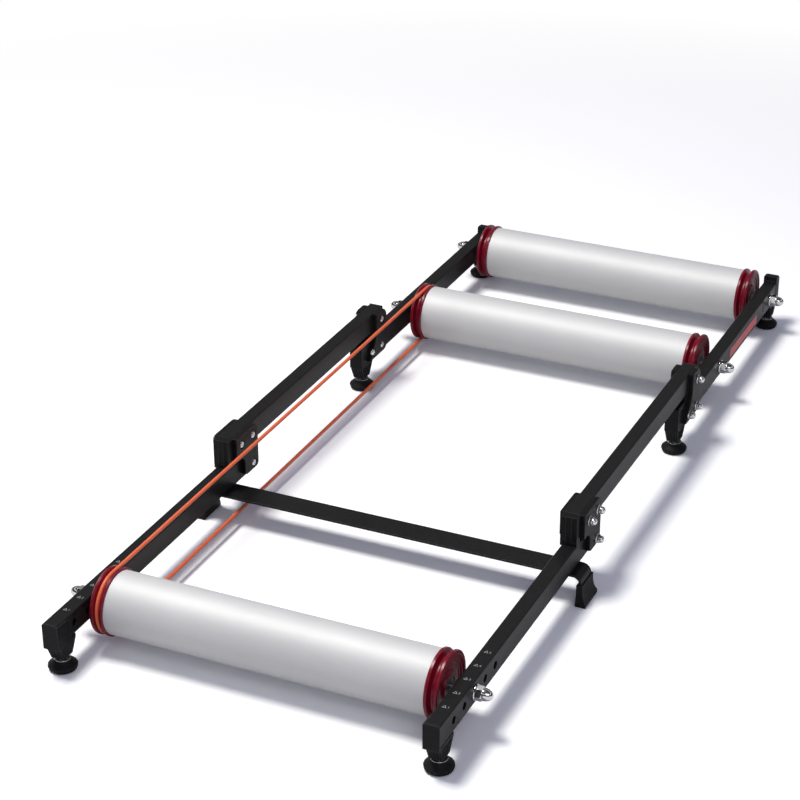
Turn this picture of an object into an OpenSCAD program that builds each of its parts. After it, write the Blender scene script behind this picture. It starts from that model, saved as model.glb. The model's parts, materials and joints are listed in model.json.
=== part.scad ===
// Folding bike rollers: three frame sections with two hinge lines, three rollers, a drive
// belt and six screw feet.
// +X points to the right rail, +Y from the front end to the rear end, +Z up. The floor is z = 0
// and the origin lies on the floor under the middle of the outline.

/* [Rails] */
// Width of a rail
rail_w = 20; // [18:0.5:24]
// Height of a rail
rail_h = 30; // [27:0.5:36]
// Wall of a rail
rail_wall = 1.5; // [1.2:0.1:2.5]
// Radius on the long edges of a rail
rail_edge_r = 2; // [1.8:0.1:3]
// Height of the lower rails above the floor
rail_lift = 42; // [40:1:55]
// Gap between the lower rails and the raised middle rails
rail_gap = 12; // [11:0.5:16]
// Front end of the front rails to the front hinge pin
front_l = 478; // [450:1:540]
// Front hinge pin to the rear hinge pin
hinge_span = 407; // [385:1:440]
// How far a rail runs past its hinge pin
rail_past_pin = 12; // [10:0.5:13]
// Rear axle to the rear end of the rear rails
rear_tail = 33; // [26:1:50]

/* [Rollers] */
// Rear hinge pin to the axle of the middle roller
mid_axle_off = 136; // [120:1:160]
// Axle of the middle roller to the axle of the rear roller
roller_pitch = 261; // [235:1:290]
// Diameter of a roller tube
tube_d = 80; // [74:1:84]
// Wall of a roller tube
tube_wall = 2.5; // [1.5:0.1:4]
// Length of a roller tube
tube_l = 418; // [370:1:480]
// Width of a roller's end cap outside the tube
cap_w = 17; // [15:0.5:22]
// Gap between a roller's end cap and the rail beside it
cap_gap = 9; // [8.5:0.1:14]
// How far the flanges of a cap stand above the tube
flange_lip = 2.5; // [1:0.1:4]
// Width of one flange
flange_w = 4.5; // [3:0.1:5]
// Diameter of a bearing
bearing_d = 26; // [22:1:30]
// Width of a bearing
bearing_w = 8; // [6:0.5:9]
// Diameter of an axle
axle_d = 10; // [8:0.5:12]

/* [Axle holes] */
// Front end of the rail to its first axle hole
first_hole = 39; // [36:1:45]
// Distance between two axle holes
hole_pitch = 30; // [24:1:36]
// Number of axle holes in a front rail
hole_count = 5; // [3:1:7]
// Which hole holds the front axle, counted from the front
axle_hole = 3; // [1:1:3]

/* [Belt] */
// Thickness of the round belt
belt_d = 5; // [4:0.1:5.5]
// Depth of the belt's middle below the rim of the flanges
belt_sink = 4; // [2.5:0.1:6]

/* [Hinges] */
// Thickness of a hinge plate
plate_t = 7; // [5:0.1:7]
// How deep a bolt's head sits in its hinge plate
head_sink = 3; // [2:0.1:3.4]
// How far a front hinge plate reaches below the pivot bolt
front_plate_low = 8.5; // [8:0.5:14]
// How far a front hinge plate reaches ahead of the pivot bolt
front_plate_nose = 25; // [16:0.5:28]
// How far a rear hinge plate reaches ahead of the pivot bolt
rear_plate_nose = 19; // [16:0.5:24]
// Radius of a rear hinge plate round the pivot bolt
rear_plate_r = 15; // [12:0.5:15]
// Distance between the two fixed bolts of a hinge plate
bolt_pitch = 31; // [26:0.5:34]
// Diameter of the hinge bolts
bolt_d = 6; // [5:0.1:8]
// Width across the flats of a cap nut on a hinge bolt
hinge_nut_af = 10; // [9:0.5:13]
// Height of a cap nut on a hinge bolt
hinge_nut_h = 9; // [7:0.5:12]
// Diameter of a bolt's round head
head_d = 11; // [10:0.5:14]
// Height of a bolt's round head
head_h = 3.4; // [3:0.1:4]
// Thickness of the end block in front of a rail
web_t = 12; // [8:0.5:14]

/* [Axle nuts] */
// Width across the flats of an axle's cap nut
axle_nut_af = 16; // [14:0.5:19]
// Height of an axle's cap nut
axle_nut_h = 20; // [14:0.5:21]
// Thickness of a washer
washer_t = 2.5; // [1:0.1:3]
// Diameter of an axle washer
axle_washer_d = 20; // [18:0.5:24]
// Thickness of the flat nut inside the rail
jam_nut_t = 5; // [3:0.1:6]

/* [Crossbar] */
// Middle of the crossbar ahead of the front hinge pin
crossbar_off = 56; // [50:1:80]
// Width of the crossbar's flat steel strip
crossbar_w = 36; // [24:0.5:42]
// Thickness of the strip
strip_t = 3; // [2:0.1:4]
// Outer radius of the strip's bends
bend_r = 12; // [6:0.5:14]
// How far the strip's ends stand out beyond the rails
outrigger = 15; // [13:0.5:20]
// Height of a shoe on the end of the strip
shoe_h = 30; // [20:0.5:30]
// Thickness of a shoe at its upper edge
shoe_t = 8.5; // [7:0.5:10]
// Thickness of a shoe at the floor
shoe_low_t = 14; // [10:0.5:18]
// Length of a shoe along the rail, at the floor
shoe_l = 45; // [42:1:54]

/* [Legs and feet] */
// End of the rail to the middle of the front foot
front_foot_y = 22; // [21:0.5:24]
// Middle of the rear hinge's foot, ahead of the rear hinge pin
hinge_foot_off = 38; // [36:0.5:42]
// Middle of the rear foot, ahead of the rear end of the rail
rear_foot_off = 8; // [6:0.5:12]
// Length of a leg block at the rail
leg_l = 34; // [30:0.5:38]
// Length of a leg block at its lower end
leg_end_l = 20; // [18:0.5:26]
// Width of a leg block at its lower end
leg_end_w = 17; // [15:0.5:19]
// Thickness of a cap over the end of a rail
end_cap_t = 2; // [2:0.1:5]
// Diameter of a foot pad
pad_d = 36; // [30:1:38]
// Height of a foot pad
pad_h = 15; // [13:0.5:20]
// Diameter of a foot's screw
stud_d = 8; // [6:0.5:10]
// Bare screw between the foot pad and the leg block
stud_show = 3.5; // [1:0.1:5]
// Thickness of the horn behind the rear end of a rail
horn_t = 15; // [10:0.5:18]
// Height of the horn above the rail
horn_h = 9.5; // [4:0.5:11]

/* [Hidden] */
$fn = 64;

// Clearances: rest between moving pieces, turning or sliding fit, and fixed fit
air = 0.3;
run_fit = 0.08;
fixed_fit = 0.2;

// The rails stand beside the rollers
rail_x = tube_l / 2 + cap_w + cap_gap + rail_w / 2;
low_z = rail_lift;
low_mid_z = low_z + rail_h / 2;
low_top_z = low_z + rail_h;
high_z = low_top_z + rail_gap;
high_mid_z = high_z + rail_h / 2;
high_top_z = high_z + rail_h;
step_z = high_mid_z - low_mid_z;

pin1_y = front_l;
pin2_y = pin1_y + hinge_span;
axle1_y = first_hole + (axle_hole - 1) * hole_pitch;
axle2_y = pin2_y + mid_axle_off;
axle3_y = axle2_y + roller_pitch;
rail_front_y = end_cap_t;
rail_end_y = axle3_y + rear_tail;
overall_l = rail_end_y + horn_t;

// The end block's face lies this far ahead of the nearer fixed bolt
block_reach = 28;
block_y = pin1_y - bolt_pitch - block_reach;
crossbar_y = pin1_y - crossbar_off;
hinge_leg_y = pin2_y - hinge_foot_off;
hinge_leg_front = hinge_leg_y - leg_l / 2 - 2;
web_low_t = 10;
rear_foot_y = rail_end_y - rear_foot_off;

in_face = rail_w / 2;
hinge_washer_t = 1.2;
plate_relief = 0.4;
leg_end_z = pad_h + stud_show;
stud_in = leg_end_z + 14;
flare = 1.2;
tongue_t = 4;
// The plug of a moulding starts this deep inside the moulding
root = 1;
// The ledge under a middle rail starts this far ahead of the rear hinge pin
ledge_off = 29;
// The narrow slot in a rear rail lies this far ahead of the rear axle
slot_off = 37;
spigot_l = 20;
// How far a foot can be screwed in from where it stands
screw_in = 3;

cap_half = tube_l / 2;
flange_r = tube_d / 2 + flange_lip;
belt_r = flange_r - belt_sink;
groove_w = cap_w - 2 * flange_w;
groove_floor_r = belt_r - belt_d / 2 - air;
belt_x = cap_half + cap_w / 2;
hub_r = bearing_d / 2 + 5;
face_step = 1.2;

// Everything is laid out from the front end and then set around the origin
module placed() translate([0, -overall_l / 2, 0]) children();

// A cylinder along X from x1 to x2
module rod_x(x1, x2, d, y, z) {
    translate([min(x1, x2), y, z]) rotate([0, 90, 0]) cylinder(d = d, h = abs(x2 - x1));
}

// A prism along X from x1 to x2, over a shape drawn in Y and Z
module slab_x(x1, x2) {
    translate([min(x1, x2), 0, 0]) rotate([90, 0, 90]) linear_extrude(height = abs(x2 - x1))
        children();
}

// A prism along Y from y1 to y2, over a shape drawn in X and Z
module slab_y(y1, y2) {
    translate([0, y2, 0]) rotate([90, 0, 0]) linear_extrude(height = y2 - y1) children();
}

// An upright oblong with rounded corners
module soft_oblong(w, h, r) {
    difference() {
        translate([-w / 2, 0]) square([w, h]);
        for (sx = [-1, 1], top = [0, 1])
            translate([sx * (w / 2 - r), top ? h - r : r]) difference() {
                translate([sx > 0 ? 0 : -r - 1, top ? 0 : -r - 1]) square(r + 1);
                circle(r = r);
            }
    }
}

module rail_tube(y1, y2, z) {
    inner_r = rail_edge_r - rail_wall > 0.4 ? rail_edge_r - rail_wall : 0;
    slab_y(y1, y2) translate([0, z]) difference() {
        soft_oblong(rail_w, rail_h, rail_edge_r);
        translate([0, rail_wall]) if (inner_r > 0)
            soft_oblong(rail_w - 2 * rail_wall, rail_h - 2 * rail_wall, inner_r);
        else
            translate([-rail_w / 2 + rail_wall, 0])
                square([rail_w - 2 * rail_wall, rail_h - 2 * rail_wall]);
    }
}

module through_rail(y, z, d) rod_x(-rail_w, rail_w, d, y, z);

module front_rail() {
    placed() difference() {
        rail_tube(rail_front_y, pin1_y + rail_past_pin, low_z);
        for (i = [0 : hole_count - 1])
            through_rail(first_hole + i * hole_pitch, low_mid_z, axle_d + 2 * fixed_fit);
        through_rail(pin1_y, low_mid_z, bolt_d + 2 * run_fit);
    }
}

module middle_rail() {
    placed() difference() {
        rail_tube(block_y + web_t, pin2_y + rail_past_pin, high_z);
        for (y = [pin1_y, pin1_y - bolt_pitch]) through_rail(y, high_mid_z, bolt_d + 2 * fixed_fit);
        through_rail(pin2_y, high_mid_z, bolt_d + 2 * run_fit);
    }
}

module rear_rail() {
    slot_y = axle3_y - slot_off;
    placed() difference() {
        rail_tube(hinge_leg_front + web_low_t, rail_end_y, low_z);
        for (y = [pin2_y, pin2_y - bolt_pitch]) through_rail(y, low_mid_z, bolt_d + 2 * fixed_fit);
        for (y = [axle2_y, axle3_y]) through_rail(y, low_mid_z, axle_d + 2 * fixed_fit);
        // A narrow upright slot in the outer wall only
        translate([rail_w / 2 - rail_wall - 1, slot_y - 1.5, low_mid_z - 5])
            cube([rail_wall + 2, 3, 10]);
    }
}

// The plug that holds a moulding in the end of a rail
module rail_plug(y1, y2, z) {
    slack = 2 * rail_wall + 2 * 0.1;
    translate([-(rail_w - slack) / 2, y1, z + slack / 2]) cube([rail_w - slack, y2 - y1, rail_h - slack]);
}

// The tapered leg with its flutes, under a rail, hollow for the screw
module leg_taper(y) {
    flute = 1;
    drop = low_z - leg_end_z;
    side_slope = atan2((rail_w - leg_end_w) / 2, drop);
    end_slope = atan2((leg_l - leg_end_l) / 2, drop);
    difference() {
        intersection() {
            slab_x(-rail_w, rail_w) translate([y, 0]) polygon([
                [-leg_l / 2, low_z], [leg_l / 2, low_z], [leg_l / 2 - 1, low_z - 4],
                [leg_end_l / 2, leg_end_z], [-leg_end_l / 2, leg_end_z], [-leg_l / 2 + 1, low_z - 4]]);
            slab_y(y - leg_l, y + leg_l) polygon([
                [-rail_w / 2, low_z], [rail_w / 2, low_z],
                [leg_end_w / 2, leg_end_z], [-leg_end_w / 2, leg_end_z]]);
        }
        for (s = [-1, 1], i = [-1.5 : 1 : 1.5])
            translate([i * 3.8, y + s * (leg_l / 2 - 0.6), low_z - 5]) rotate([s * end_slope, 0, 0])
                translate([-0.7, -flute, -drop]) cube([1.4, 2 * flute, drop]);
        for (s = [-1, 1], i = [-2 : 2])
            translate([s * rail_w / 2, y + i * 4.2, low_z - 4]) rotate([0, -s * side_slope, 0])
                translate([-flute, -0.7, -drop]) cube([2 * flute, 1.4, drop]);
        translate([0, y, leg_end_z - 1])
            cylinder(d = stud_d + 2 * run_fit, h = stud_in - leg_end_z + screw_in + 2);
    }
}

// Front leg: a plug, a cap over the rail's end and the leg under it, in one moulding
module front_leg() {
    placed() union() {
        leg_taper(front_foot_y);
        slab_y(0, end_cap_t) translate([0, low_z]) soft_oblong(rail_w, rail_h, rail_edge_r);
        slab_x(-rail_w / 2 + 2, rail_w / 2 - 2) polygon([
            [0, low_z], [front_foot_y - leg_l / 2 + 4, low_z],
            [front_foot_y - leg_l / 2 + 3, low_z - 5], [end_cap_t, low_z - 4], [0, low_z - 1]]);
        rail_plug(end_cap_t - root, first_hole - axle_d, low_z);
    }
}

// Leg at the rear hinge: the web ahead of the rail and the ledge under the middle rail are part of it
module hinge_leg() {
    ledge_y = pin2_y - ledge_off;
    placed() union() {
        leg_taper(hinge_leg_y);
        slab_x(-rail_w / 2, rail_w / 2) polygon([
            [hinge_leg_front, low_z - 3], [hinge_leg_y - leg_l / 2, low_z - 5],
            [hinge_leg_y - leg_l / 2 + 2, low_z],
            [hinge_leg_front + web_low_t, low_z], [hinge_leg_front + web_low_t, low_top_z],
            [ledge_y + 10, low_top_z], [ledge_y + 8, high_z - air], [ledge_y, high_z - air],
            [ledge_y - 1, low_top_z + tongue_t], [hinge_leg_front + 3, low_top_z + tongue_t],
            [hinge_leg_front, low_top_z + 1]]);
        rail_plug(hinge_leg_front + web_low_t - root, pin2_y - bolt_pitch - bolt_d, low_z);
    }
}

// Rear leg: the cap behind the rail's end rises as a horn that carries the folded middle rail
module rear_leg() {
    placed() union() {
        leg_taper(rear_foot_y);
        difference() {
            slab_y(rail_end_y, rail_end_y + horn_t) translate([0, low_z])
                soft_oblong(rail_w + flare, rail_h + horn_h, 3);
            translate([-rail_w, rail_end_y + horn_t, low_z]) rotate([-14, 0, 0])
                cube([2 * rail_w, horn_t, 2 * rail_h]);
            for (i = [-2 : 2])
                translate([i * 3.6 - 0.6, rail_end_y - 0.2, low_top_z + 1.5]) cube([1.2, 0.8, horn_h - 4.5]);
        }
        rail_plug(axle3_y + axle_d + 3, rail_end_y + root, low_z);
    }
}

// Flat strip under the front rails, its ends bent down outside them
module crossbar() {
    tip = rail_x + rail_w / 2 + outrigger;
    color([0.12, 0.12, 0.12]) placed() slab_y(crossbar_y - crossbar_w / 2, crossbar_y + crossbar_w / 2)
        union() {
            translate([-tip + bend_r, low_z - strip_t]) square([2 * (tip - bend_r), strip_t]);
            for (s = [-1, 1]) {
                translate([s * (tip - bend_r), low_z - bend_r]) intersection() {
                    difference() {
                        circle(r = bend_r);
                        circle(r = bend_r - strip_t);
                    }
                    translate([s > 0 ? 0 : -bend_r - 1, 0]) square(bend_r + 1);
                }
                translate([s * (tip - strip_t / 2) - strip_t / 2, strip_t + 1])
                    square([strip_t, low_z - bend_r - strip_t - 1]);
            }
        }
}

// Moulded shoe over the end of the strip, from a slim upper edge to a broad foot
module outrigger_shoe() {
    tip = rail_w / 2 + outrigger;
    top_out = tip + 2;
    top_in = top_out - shoe_t;
    top_half = crossbar_w / 2 + 2;
    low_half = shoe_l / 2;
    slot = strip_t + 2 * fixed_fit;
    color([0.07, 0.07, 0.07]) placed() difference() {
        intersection() {
            slab_y(crossbar_y - shoe_l, crossbar_y + shoe_l) polygon([
                [top_in, 0], [top_in + shoe_low_t, 0], [top_in + shoe_low_t, 5],
                [top_out + 0.8, shoe_h * 0.62], [top_out, shoe_h - 1], [top_out - 1, shoe_h],
                [top_in + 1, shoe_h], [top_in, shoe_h - 1]]);
            slab_x(0, 2 * tip) polygon([
                [crossbar_y - low_half, 0], [crossbar_y + low_half, 0], [crossbar_y + low_half, 5],
                [crossbar_y + top_half + 0.8, shoe_h * 0.42], [crossbar_y + top_half, shoe_h * 0.62],
                [crossbar_y + top_half, shoe_h], [crossbar_y - top_half, shoe_h],
                [crossbar_y - top_half, shoe_h * 0.62], [crossbar_y - top_half - 0.8, shoe_h * 0.42],
                [crossbar_y - low_half, 5]]);
        }
        translate([tip - strip_t - fixed_fit, crossbar_y - crossbar_w / 2 - fixed_fit, strip_t + 0.5])
            cube([slot, crossbar_w + 2 * fixed_fit, shoe_h]);
    }
}

// End block of a middle rail: its web stands on the front rail when the frame is open
module middle_end_block() {
    color([0.1, 0.1, 0.1]) placed() union() {
        difference() {
            slab_y(block_y, block_y + web_t) translate([0, low_top_z + air])
                soft_oblong(rail_w + 2 * flare, high_top_z - low_top_z - air, 1.5);
            for (i = [-1 : 1])
                translate([i * 6 - 0.8, block_y - 1, low_top_z + 4]) cube([1.6, 1.8, rail_h + rail_gap - 8]);
        }
        translate([-rail_w / 2 + 1, block_y + web_t - 1, high_z - tongue_t])
            cube([rail_w - 2, bolt_pitch - 6, tongue_t]);
        rail_plug(block_y + web_t - root, pin1_y - bolt_pitch - bolt_d, high_z);
    }
}

// Rounded plug in the rear end of a middle rail
module middle_rear_plug() {
    end_y = pin2_y + rail_past_pin;
    placed() union() {
        difference() {
            slab_y(end_y, end_y + 4) translate([0, high_z]) soft_oblong(rail_w, rail_h, rail_edge_r);
            for (s = [-1, 1])
                translate([-rail_w, end_y + 4, high_mid_z + s * (rail_h / 2 - 4)])
                    rotate([s * 45, 0, 0]) translate([0, -4, s > 0 ? 0 : -12]) cube([2 * rail_w, 12, 12]);
        }
        rail_plug(pin2_y + bolt_d - 1, end_y + root, high_z);
    }
}

// Outlines of the hinge plates, in Y and Z around the pivot bolt. The arm is the part that is bolted
// to a rail. It points up on a front plate and down on a rear plate, which is drawn upside down.
module front_plate_outline(cut) {
    nose = front_plate_nose - cut;
    base = front_plate_low - cut;
    rear = 13 - cut;
    arm_l = pin1_y - block_y - web_t - 0.4 - cut;
    arm_top = step_z + rail_h / 2 - 0.5 - cut;
    arm_low = step_z - rail_h / 2 - 5 + cut;
    hollow = 12 + cut;
    difference() {
        polygon([[-nose + 5, -base], [rear - 5, -base], [rear, -base + 6], [rear, arm_top - 10],
                 [rear - 13, arm_top], [-arm_l + 2, arm_top], [-arm_l, arm_top - 2],
                 [-arm_l, arm_low + 1], [-arm_l + 1, arm_low], [-nose - hollow - 0.2, arm_low],
                 [-nose - hollow - 0.2, arm_low - hollow - 0.2], [-nose, arm_low - hollow - 0.2],
                 [-nose, -base + 7]]);
        translate([-nose - hollow - 0.2, arm_low - hollow - 0.2]) circle(r = hollow);
    }
}

module rear_plate_outline(cut) {
    nose = rear_plate_nose - cut;
    r = rear_plate_r - cut;
    arm_l = bolt_pitch + 12 - cut;
    arm_top = step_z + rail_h / 2 - 4 - cut;
    mirror([0, 1]) union() {
        circle(r = r);
        polygon([[-nose, -r + 3.5], [-nose + 3, -r + 0.3], [0, -r + 0.3], [r - 0.3, 0],
                 [r - 0.3, arm_top - 11], [3, arm_top], [-arm_l + 1.5, arm_top],
                 [-arm_l, arm_top - 2], [-nose - 2, r + 8], [-nose, r + 4]]);
    }
}

// A hinge plate beside the rail, from its inner face at x = 0 outwards. It touches the rail that
// it is bolted to and stands off a little from the rail that turns.
module hinge_plate(pin_y, pin_z, dir, sunk) {
    relief_z = step_z - rail_h / 2 - rail_gap / 2;
    bevel = 1.4;
    holes = [[0, 0], [0, dir * step_z], [-bolt_pitch, dir * step_z]];
    reach = 2 * (front_plate_nose + bolt_pitch);
    translate([0, pin_y, pin_z]) difference() {
        union() {
            slab_x(0, plate_t - bevel) if (dir > 0) front_plate_outline(0); else rear_plate_outline(0);
            slab_x(plate_t - bevel - 0.01, plate_t)
                if (dir > 0) front_plate_outline(bevel); else rear_plate_outline(bevel);
        }
        slab_x(-1, plate_relief) translate([-reach / 2, dir > 0 ? -reach : -relief_z])
            square([reach, reach + relief_z]);
        for (p = holes) rod_x(-1, plate_t + 1, bolt_d + 2 * fixed_fit, p[0], p[1]);
        if (sunk) for (p = holes)
            rod_x(plate_t - head_sink, plate_t + 1, head_d + 1.2, p[0], p[1]);
    }
}

module front_hinge_plate(sunk) {
    placed() hinge_plate(pin1_y, low_mid_z, 1, sunk);
}

module rear_hinge_plate(sunk) {
    placed() hinge_plate(pin2_y, high_mid_z, -1, sunk);
}

// A round-headed bolt along X: its head inside the frame, its end in the cap nut outside
module hinge_bolt(y, z) {
    head_x = -in_face - plate_t + head_sink;
    end_x = in_face + plate_t + nut_depth(hinge_nut_h, hinge_washer_t) - 0.5;
    translate([0, y, z]) union() {
        rod_x(head_x - 0.5, end_x, bolt_d, 0, 0);
        translate([head_x - head_h, 0, 0]) rotate([0, 90, 0]) difference() {
            rotate_extrude() polygon([
                [0, 0], [head_d / 2 - 3.4, 0], [head_d / 2 - 1.6, 0.7], [head_d / 2 - 0.4, 2],
                [head_d / 2, head_h - 1], [head_d / 2, head_h], [0, head_h]]);
            translate([0, 0, -1]) cylinder(d = bolt_d * 0.6, h = 3, $fn = 6);
        }
    }
}

// Depth of the blind hole in a cap nut with its washer
function nut_depth(h, washer_h) = washer_h + h * 0.62;

// A cap nut with its washer on the outside, from x = 0 outwards
module cap_nut(af, h, bore, washer_d, washer_h) {
    hex_h = h * 0.5;
    dome_r = af * 0.46;
    rotate([0, 90, 0]) difference() {
        union() {
            cylinder(d = washer_d, h = washer_h);
            translate([0, 0, washer_h - 0.01]) intersection() {
                cylinder(d = af / cos(30), h = hex_h, $fn = 6);
                rotate_extrude() polygon([[0, 0], [af / 2 + 2, 0], [af / 2 + 2, hex_h - 2],
                                          [af / 2 - 0.4, hex_h], [0, hex_h]]);
            }
            translate([0, 0, washer_h + hex_h - 0.02]) rotate_extrude() polygon(concat(
                [[0, 0]],
                [for (a = [0 : 15 : 75]) [dome_r * cos(a), 1 + (h - hex_h - 1) * sin(a)]],
                [[0, h - hex_h]]));
        }
        translate([0, 0, -1]) cylinder(d = bore + 2 * 0.1, h = nut_depth(h, washer_h) + 1);
    }
}

module hinge_nut(y, z) {
    translate([in_face + plate_t, y, z])
        cap_nut(hinge_nut_af, hinge_nut_h, bolt_d, hinge_nut_af + 2.4, hinge_washer_t);
}

module hinge_set(pin_y, pin_z, dir) {
    for (p = [[0, 0], [0, dir * step_z], [-bolt_pitch, dir * step_z]])
        translate([0, p[0], p[1]]) children();
}

module axle(y) {
    half = rail_x + rail_w / 2 + nut_depth(axle_nut_h, washer_t) - 0.5;
    color("silver") placed() rod_x(-half, half, axle_d, y, low_mid_z);
}

module axle_nut_set(y) {
    jam_d = axle_nut_af / cos(30);
    for (s = [0, 1]) mirror([s, 0, 0]) translate([rail_x, y, low_mid_z]) {
        translate([in_face, 0, 0])
            cap_nut(axle_nut_af, axle_nut_h, axle_d, axle_washer_d, washer_t);
        translate([-in_face - jam_nut_t, 0, 0]) rotate([0, 90, 0]) difference() {
            cylinder(d = jam_d, h = jam_nut_t, $fn = 6);
            translate([0, 0, -1]) cylinder(d = axle_d + 2 * 0.1, h = jam_nut_t + 2);
        }
    }
}

module roller_tube(y) {
    color([0.8, 0.81, 0.82]) placed() difference() {
        rod_x(-cap_half, cap_half, tube_d, y, low_mid_z);
        rod_x(-cap_half - 1, cap_half + 1, tube_d - 2 * tube_wall, y, low_mid_z);
    }
}

// End cap of a roller: two flanges with the belt groove between them, and a stepped outer face
module roller_cap(y) {
    seat_r = bearing_d / 2 + 0.05;
    spigot_r = tube_d / 2 - tube_wall - 0.1;
    far = cap_w;
    shoulder = cap_w - bearing_w;
    color([0.62, 0.05, 0.12]) placed() translate([cap_half, y, low_mid_z]) rotate([0, 90, 0])
        rotate_extrude($fn = 96) polygon([
            [axle_d / 2 + 3, 2 - spigot_l], [spigot_r - 6, 2 - spigot_l], [spigot_r - 4.5, -spigot_l],
        [spigot_r, -spigot_l],
            [spigot_r, 0], [flange_r - 0.8, 0], [flange_r, 0.8], [flange_r, flange_w - 0.8],
            [flange_r - 0.6, flange_w], [groove_floor_r + 1, flange_w + groove_w / 2 - 2.3],
            [groove_floor_r, flange_w + groove_w / 2 - 1],
            [groove_floor_r, flange_w + groove_w / 2 + 1],
            [groove_floor_r + 1, flange_w + groove_w / 2 + 2.3],
            [flange_r - 0.6, cap_w - flange_w], [flange_r, cap_w - flange_w + 0.8],
            [flange_r, cap_w - 1.2], [flange_r - 1.2, far], [flange_r - 5, far],
            [flange_r - 5.8, far - face_step], [flange_r - 11, far - face_step],
            [flange_r - 11.8, far - 2 * face_step], [hub_r + 1.5, far - 2 * face_step],
            [hub_r, far - face_step], [hub_r, far], [seat_r, far], [seat_r, shoulder],
            [axle_d / 2 + 3, shoulder]]);
}

module bearing_pair(y) {
    bore_r = axle_d / 2 + run_fit;
    outer_r = bearing_d / 2;
    lip = (outer_r - bore_r) * 0.3;
    color([0.7, 0.71, 0.73]) placed() for (s = [0, 1]) mirror([s, 0, 0])
        translate([cap_half + cap_w - bearing_w, y, low_mid_z]) rotate([0, 90, 0])
            rotate_extrude() polygon([
                [bore_r, 0], [outer_r, 0], [outer_r, bearing_w - 0.5], [outer_r - lip, bearing_w - 0.5],
                [outer_r - lip - 0.4, bearing_w - 1], [bore_r + lip + 0.4, bearing_w - 1],
                [bore_r + lip, bearing_w - 0.5], [bore_r, bearing_w - 0.5]]);
}

// Endless round belt: two straight runs and a half turn round each roller
module drive_belt() {
    run = axle2_y - axle1_y;
    color([0.93, 0.35, 0.2]) placed() translate([-belt_x, axle1_y, low_mid_z]) union() {
        for (s = [-1, 1])
            translate([0, 0, s * belt_r]) rotate([-90, 0, 0]) cylinder(d = belt_d, h = run, $fn = 24);
        for (far = [0, 1]) translate([0, far * run, 0]) rotate([0, 90, 0])
            intersection() {
                rotate_extrude() translate([belt_r, 0]) circle(d = belt_d, $fn = 24);
                translate([-2 * belt_r, far ? 0 : -2 * belt_r, -belt_d])
                    cube([4 * belt_r, 2 * belt_r, 2 * belt_d]);
            }
    }
}

module foot_pad(y) {
    r = pad_d / 2;
    color([0.07, 0.07, 0.07]) placed() translate([0, y, 0]) rotate_extrude() polygon([
        [0, 0], [r - 3, 0], [r - 1, 1.2], [r, 4], [r, 6], [r - 0.8, 7.5], [r - 3.5, 10.5],
        [r * 0.62, pad_h * 0.72], [r * 0.53, pad_h - 1.2], [r * 0.5, pad_h],
        [stud_d / 2 + 0.1, pad_h], [stud_d / 2 + 0.1, 6], [0, 6]]);
}

module foot_stud(y) {
    color([0.75, 0.75, 0.76]) placed() translate([0, y, 6]) cylinder(d = stud_d, h = stud_in - 6 - air);
}

module on_left() translate([-rail_x, 0, 0]) mirror([1, 0, 0]) children();
module on_right() translate([rail_x, 0, 0]) children();
module on_both() {
    on_left() children();
    on_right() children();
}
// A plate's own x = 0 is the rail's face, and it grows away from the rail
module outer_side() translate([in_face, 0, 0]) children();
module inner_side() mirror([1, 0, 0]) translate([in_face, 0, 0]) children();

module black_steel() color([0.12, 0.12, 0.12]) children();
module black_plastic() color([0.08, 0.08, 0.08]) children();
module chrome() color([0.8, 0.8, 0.82]) children();

black_steel() on_left() front_rail();  // front_rail_left
black_steel() on_right() front_rail();  // front_rail_right
black_steel() on_left() middle_rail();  // middle_rail_left
black_steel() on_right() middle_rail();  // middle_rail_right
black_steel() on_left() rear_rail();  // rear_rail_left
black_steel() on_right() rear_rail();  // rear_rail_right
black_plastic() on_left() front_leg();  // front_leg_left
black_plastic() on_right() front_leg();  // front_leg_right
black_plastic() on_left() hinge_leg();  // hinge_leg_left
black_plastic() on_right() hinge_leg();  // hinge_leg_right
black_plastic() on_left() rear_leg();  // rear_leg_left
black_plastic() on_right() rear_leg();  // rear_leg_right
crossbar();
on_left() outrigger_shoe();  // outrigger_shoe_left
on_right() outrigger_shoe();  // outrigger_shoe_right
on_left() middle_end_block();  // middle_end_block_left
on_right() middle_end_block();  // middle_end_block_right
black_plastic() on_both() middle_rear_plug();  // middle_rear_plugs
black_plastic() on_left() inner_side() front_hinge_plate(true);  // front_hinge_plate_left_inner
black_plastic() on_left() outer_side() front_hinge_plate(false);  // front_hinge_plate_left_outer
black_plastic() on_right() inner_side() front_hinge_plate(true);  // front_hinge_plate_right_inner
black_plastic() on_right() outer_side() front_hinge_plate(false);  // front_hinge_plate_right_outer
black_plastic() on_left() inner_side() rear_hinge_plate(true);  // rear_hinge_plate_left_inner
black_plastic() on_left() outer_side() rear_hinge_plate(false);  // rear_hinge_plate_left_outer
black_plastic() on_right() inner_side() rear_hinge_plate(true);  // rear_hinge_plate_right_inner
black_plastic() on_right() outer_side() rear_hinge_plate(false);  // rear_hinge_plate_right_outer
chrome() placed() on_both() hinge_set(pin1_y, low_mid_z, 1) hinge_bolt(pin1_y, low_mid_z);  // front_hinge_bolts
chrome() placed() on_both() hinge_set(pin1_y, low_mid_z, 1) hinge_nut(pin1_y, low_mid_z);  // front_hinge_nuts
chrome() placed() on_both() hinge_set(pin2_y, high_mid_z, -1) hinge_bolt(pin2_y, high_mid_z);  // rear_hinge_bolts
chrome() placed() on_both() hinge_set(pin2_y, high_mid_z, -1) hinge_nut(pin2_y, high_mid_z);  // rear_hinge_nuts
axle(axle1_y);  // front_axle
chrome() placed() axle_nut_set(axle1_y);  // front_axle_nuts
axle(axle2_y);  // middle_axle
axle(axle3_y);  // rear_axle
chrome() placed() for (y = [axle2_y, axle3_y]) axle_nut_set(y);  // rear_frame_axle_nuts
roller_tube(axle1_y);  // front_roller_tube
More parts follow.
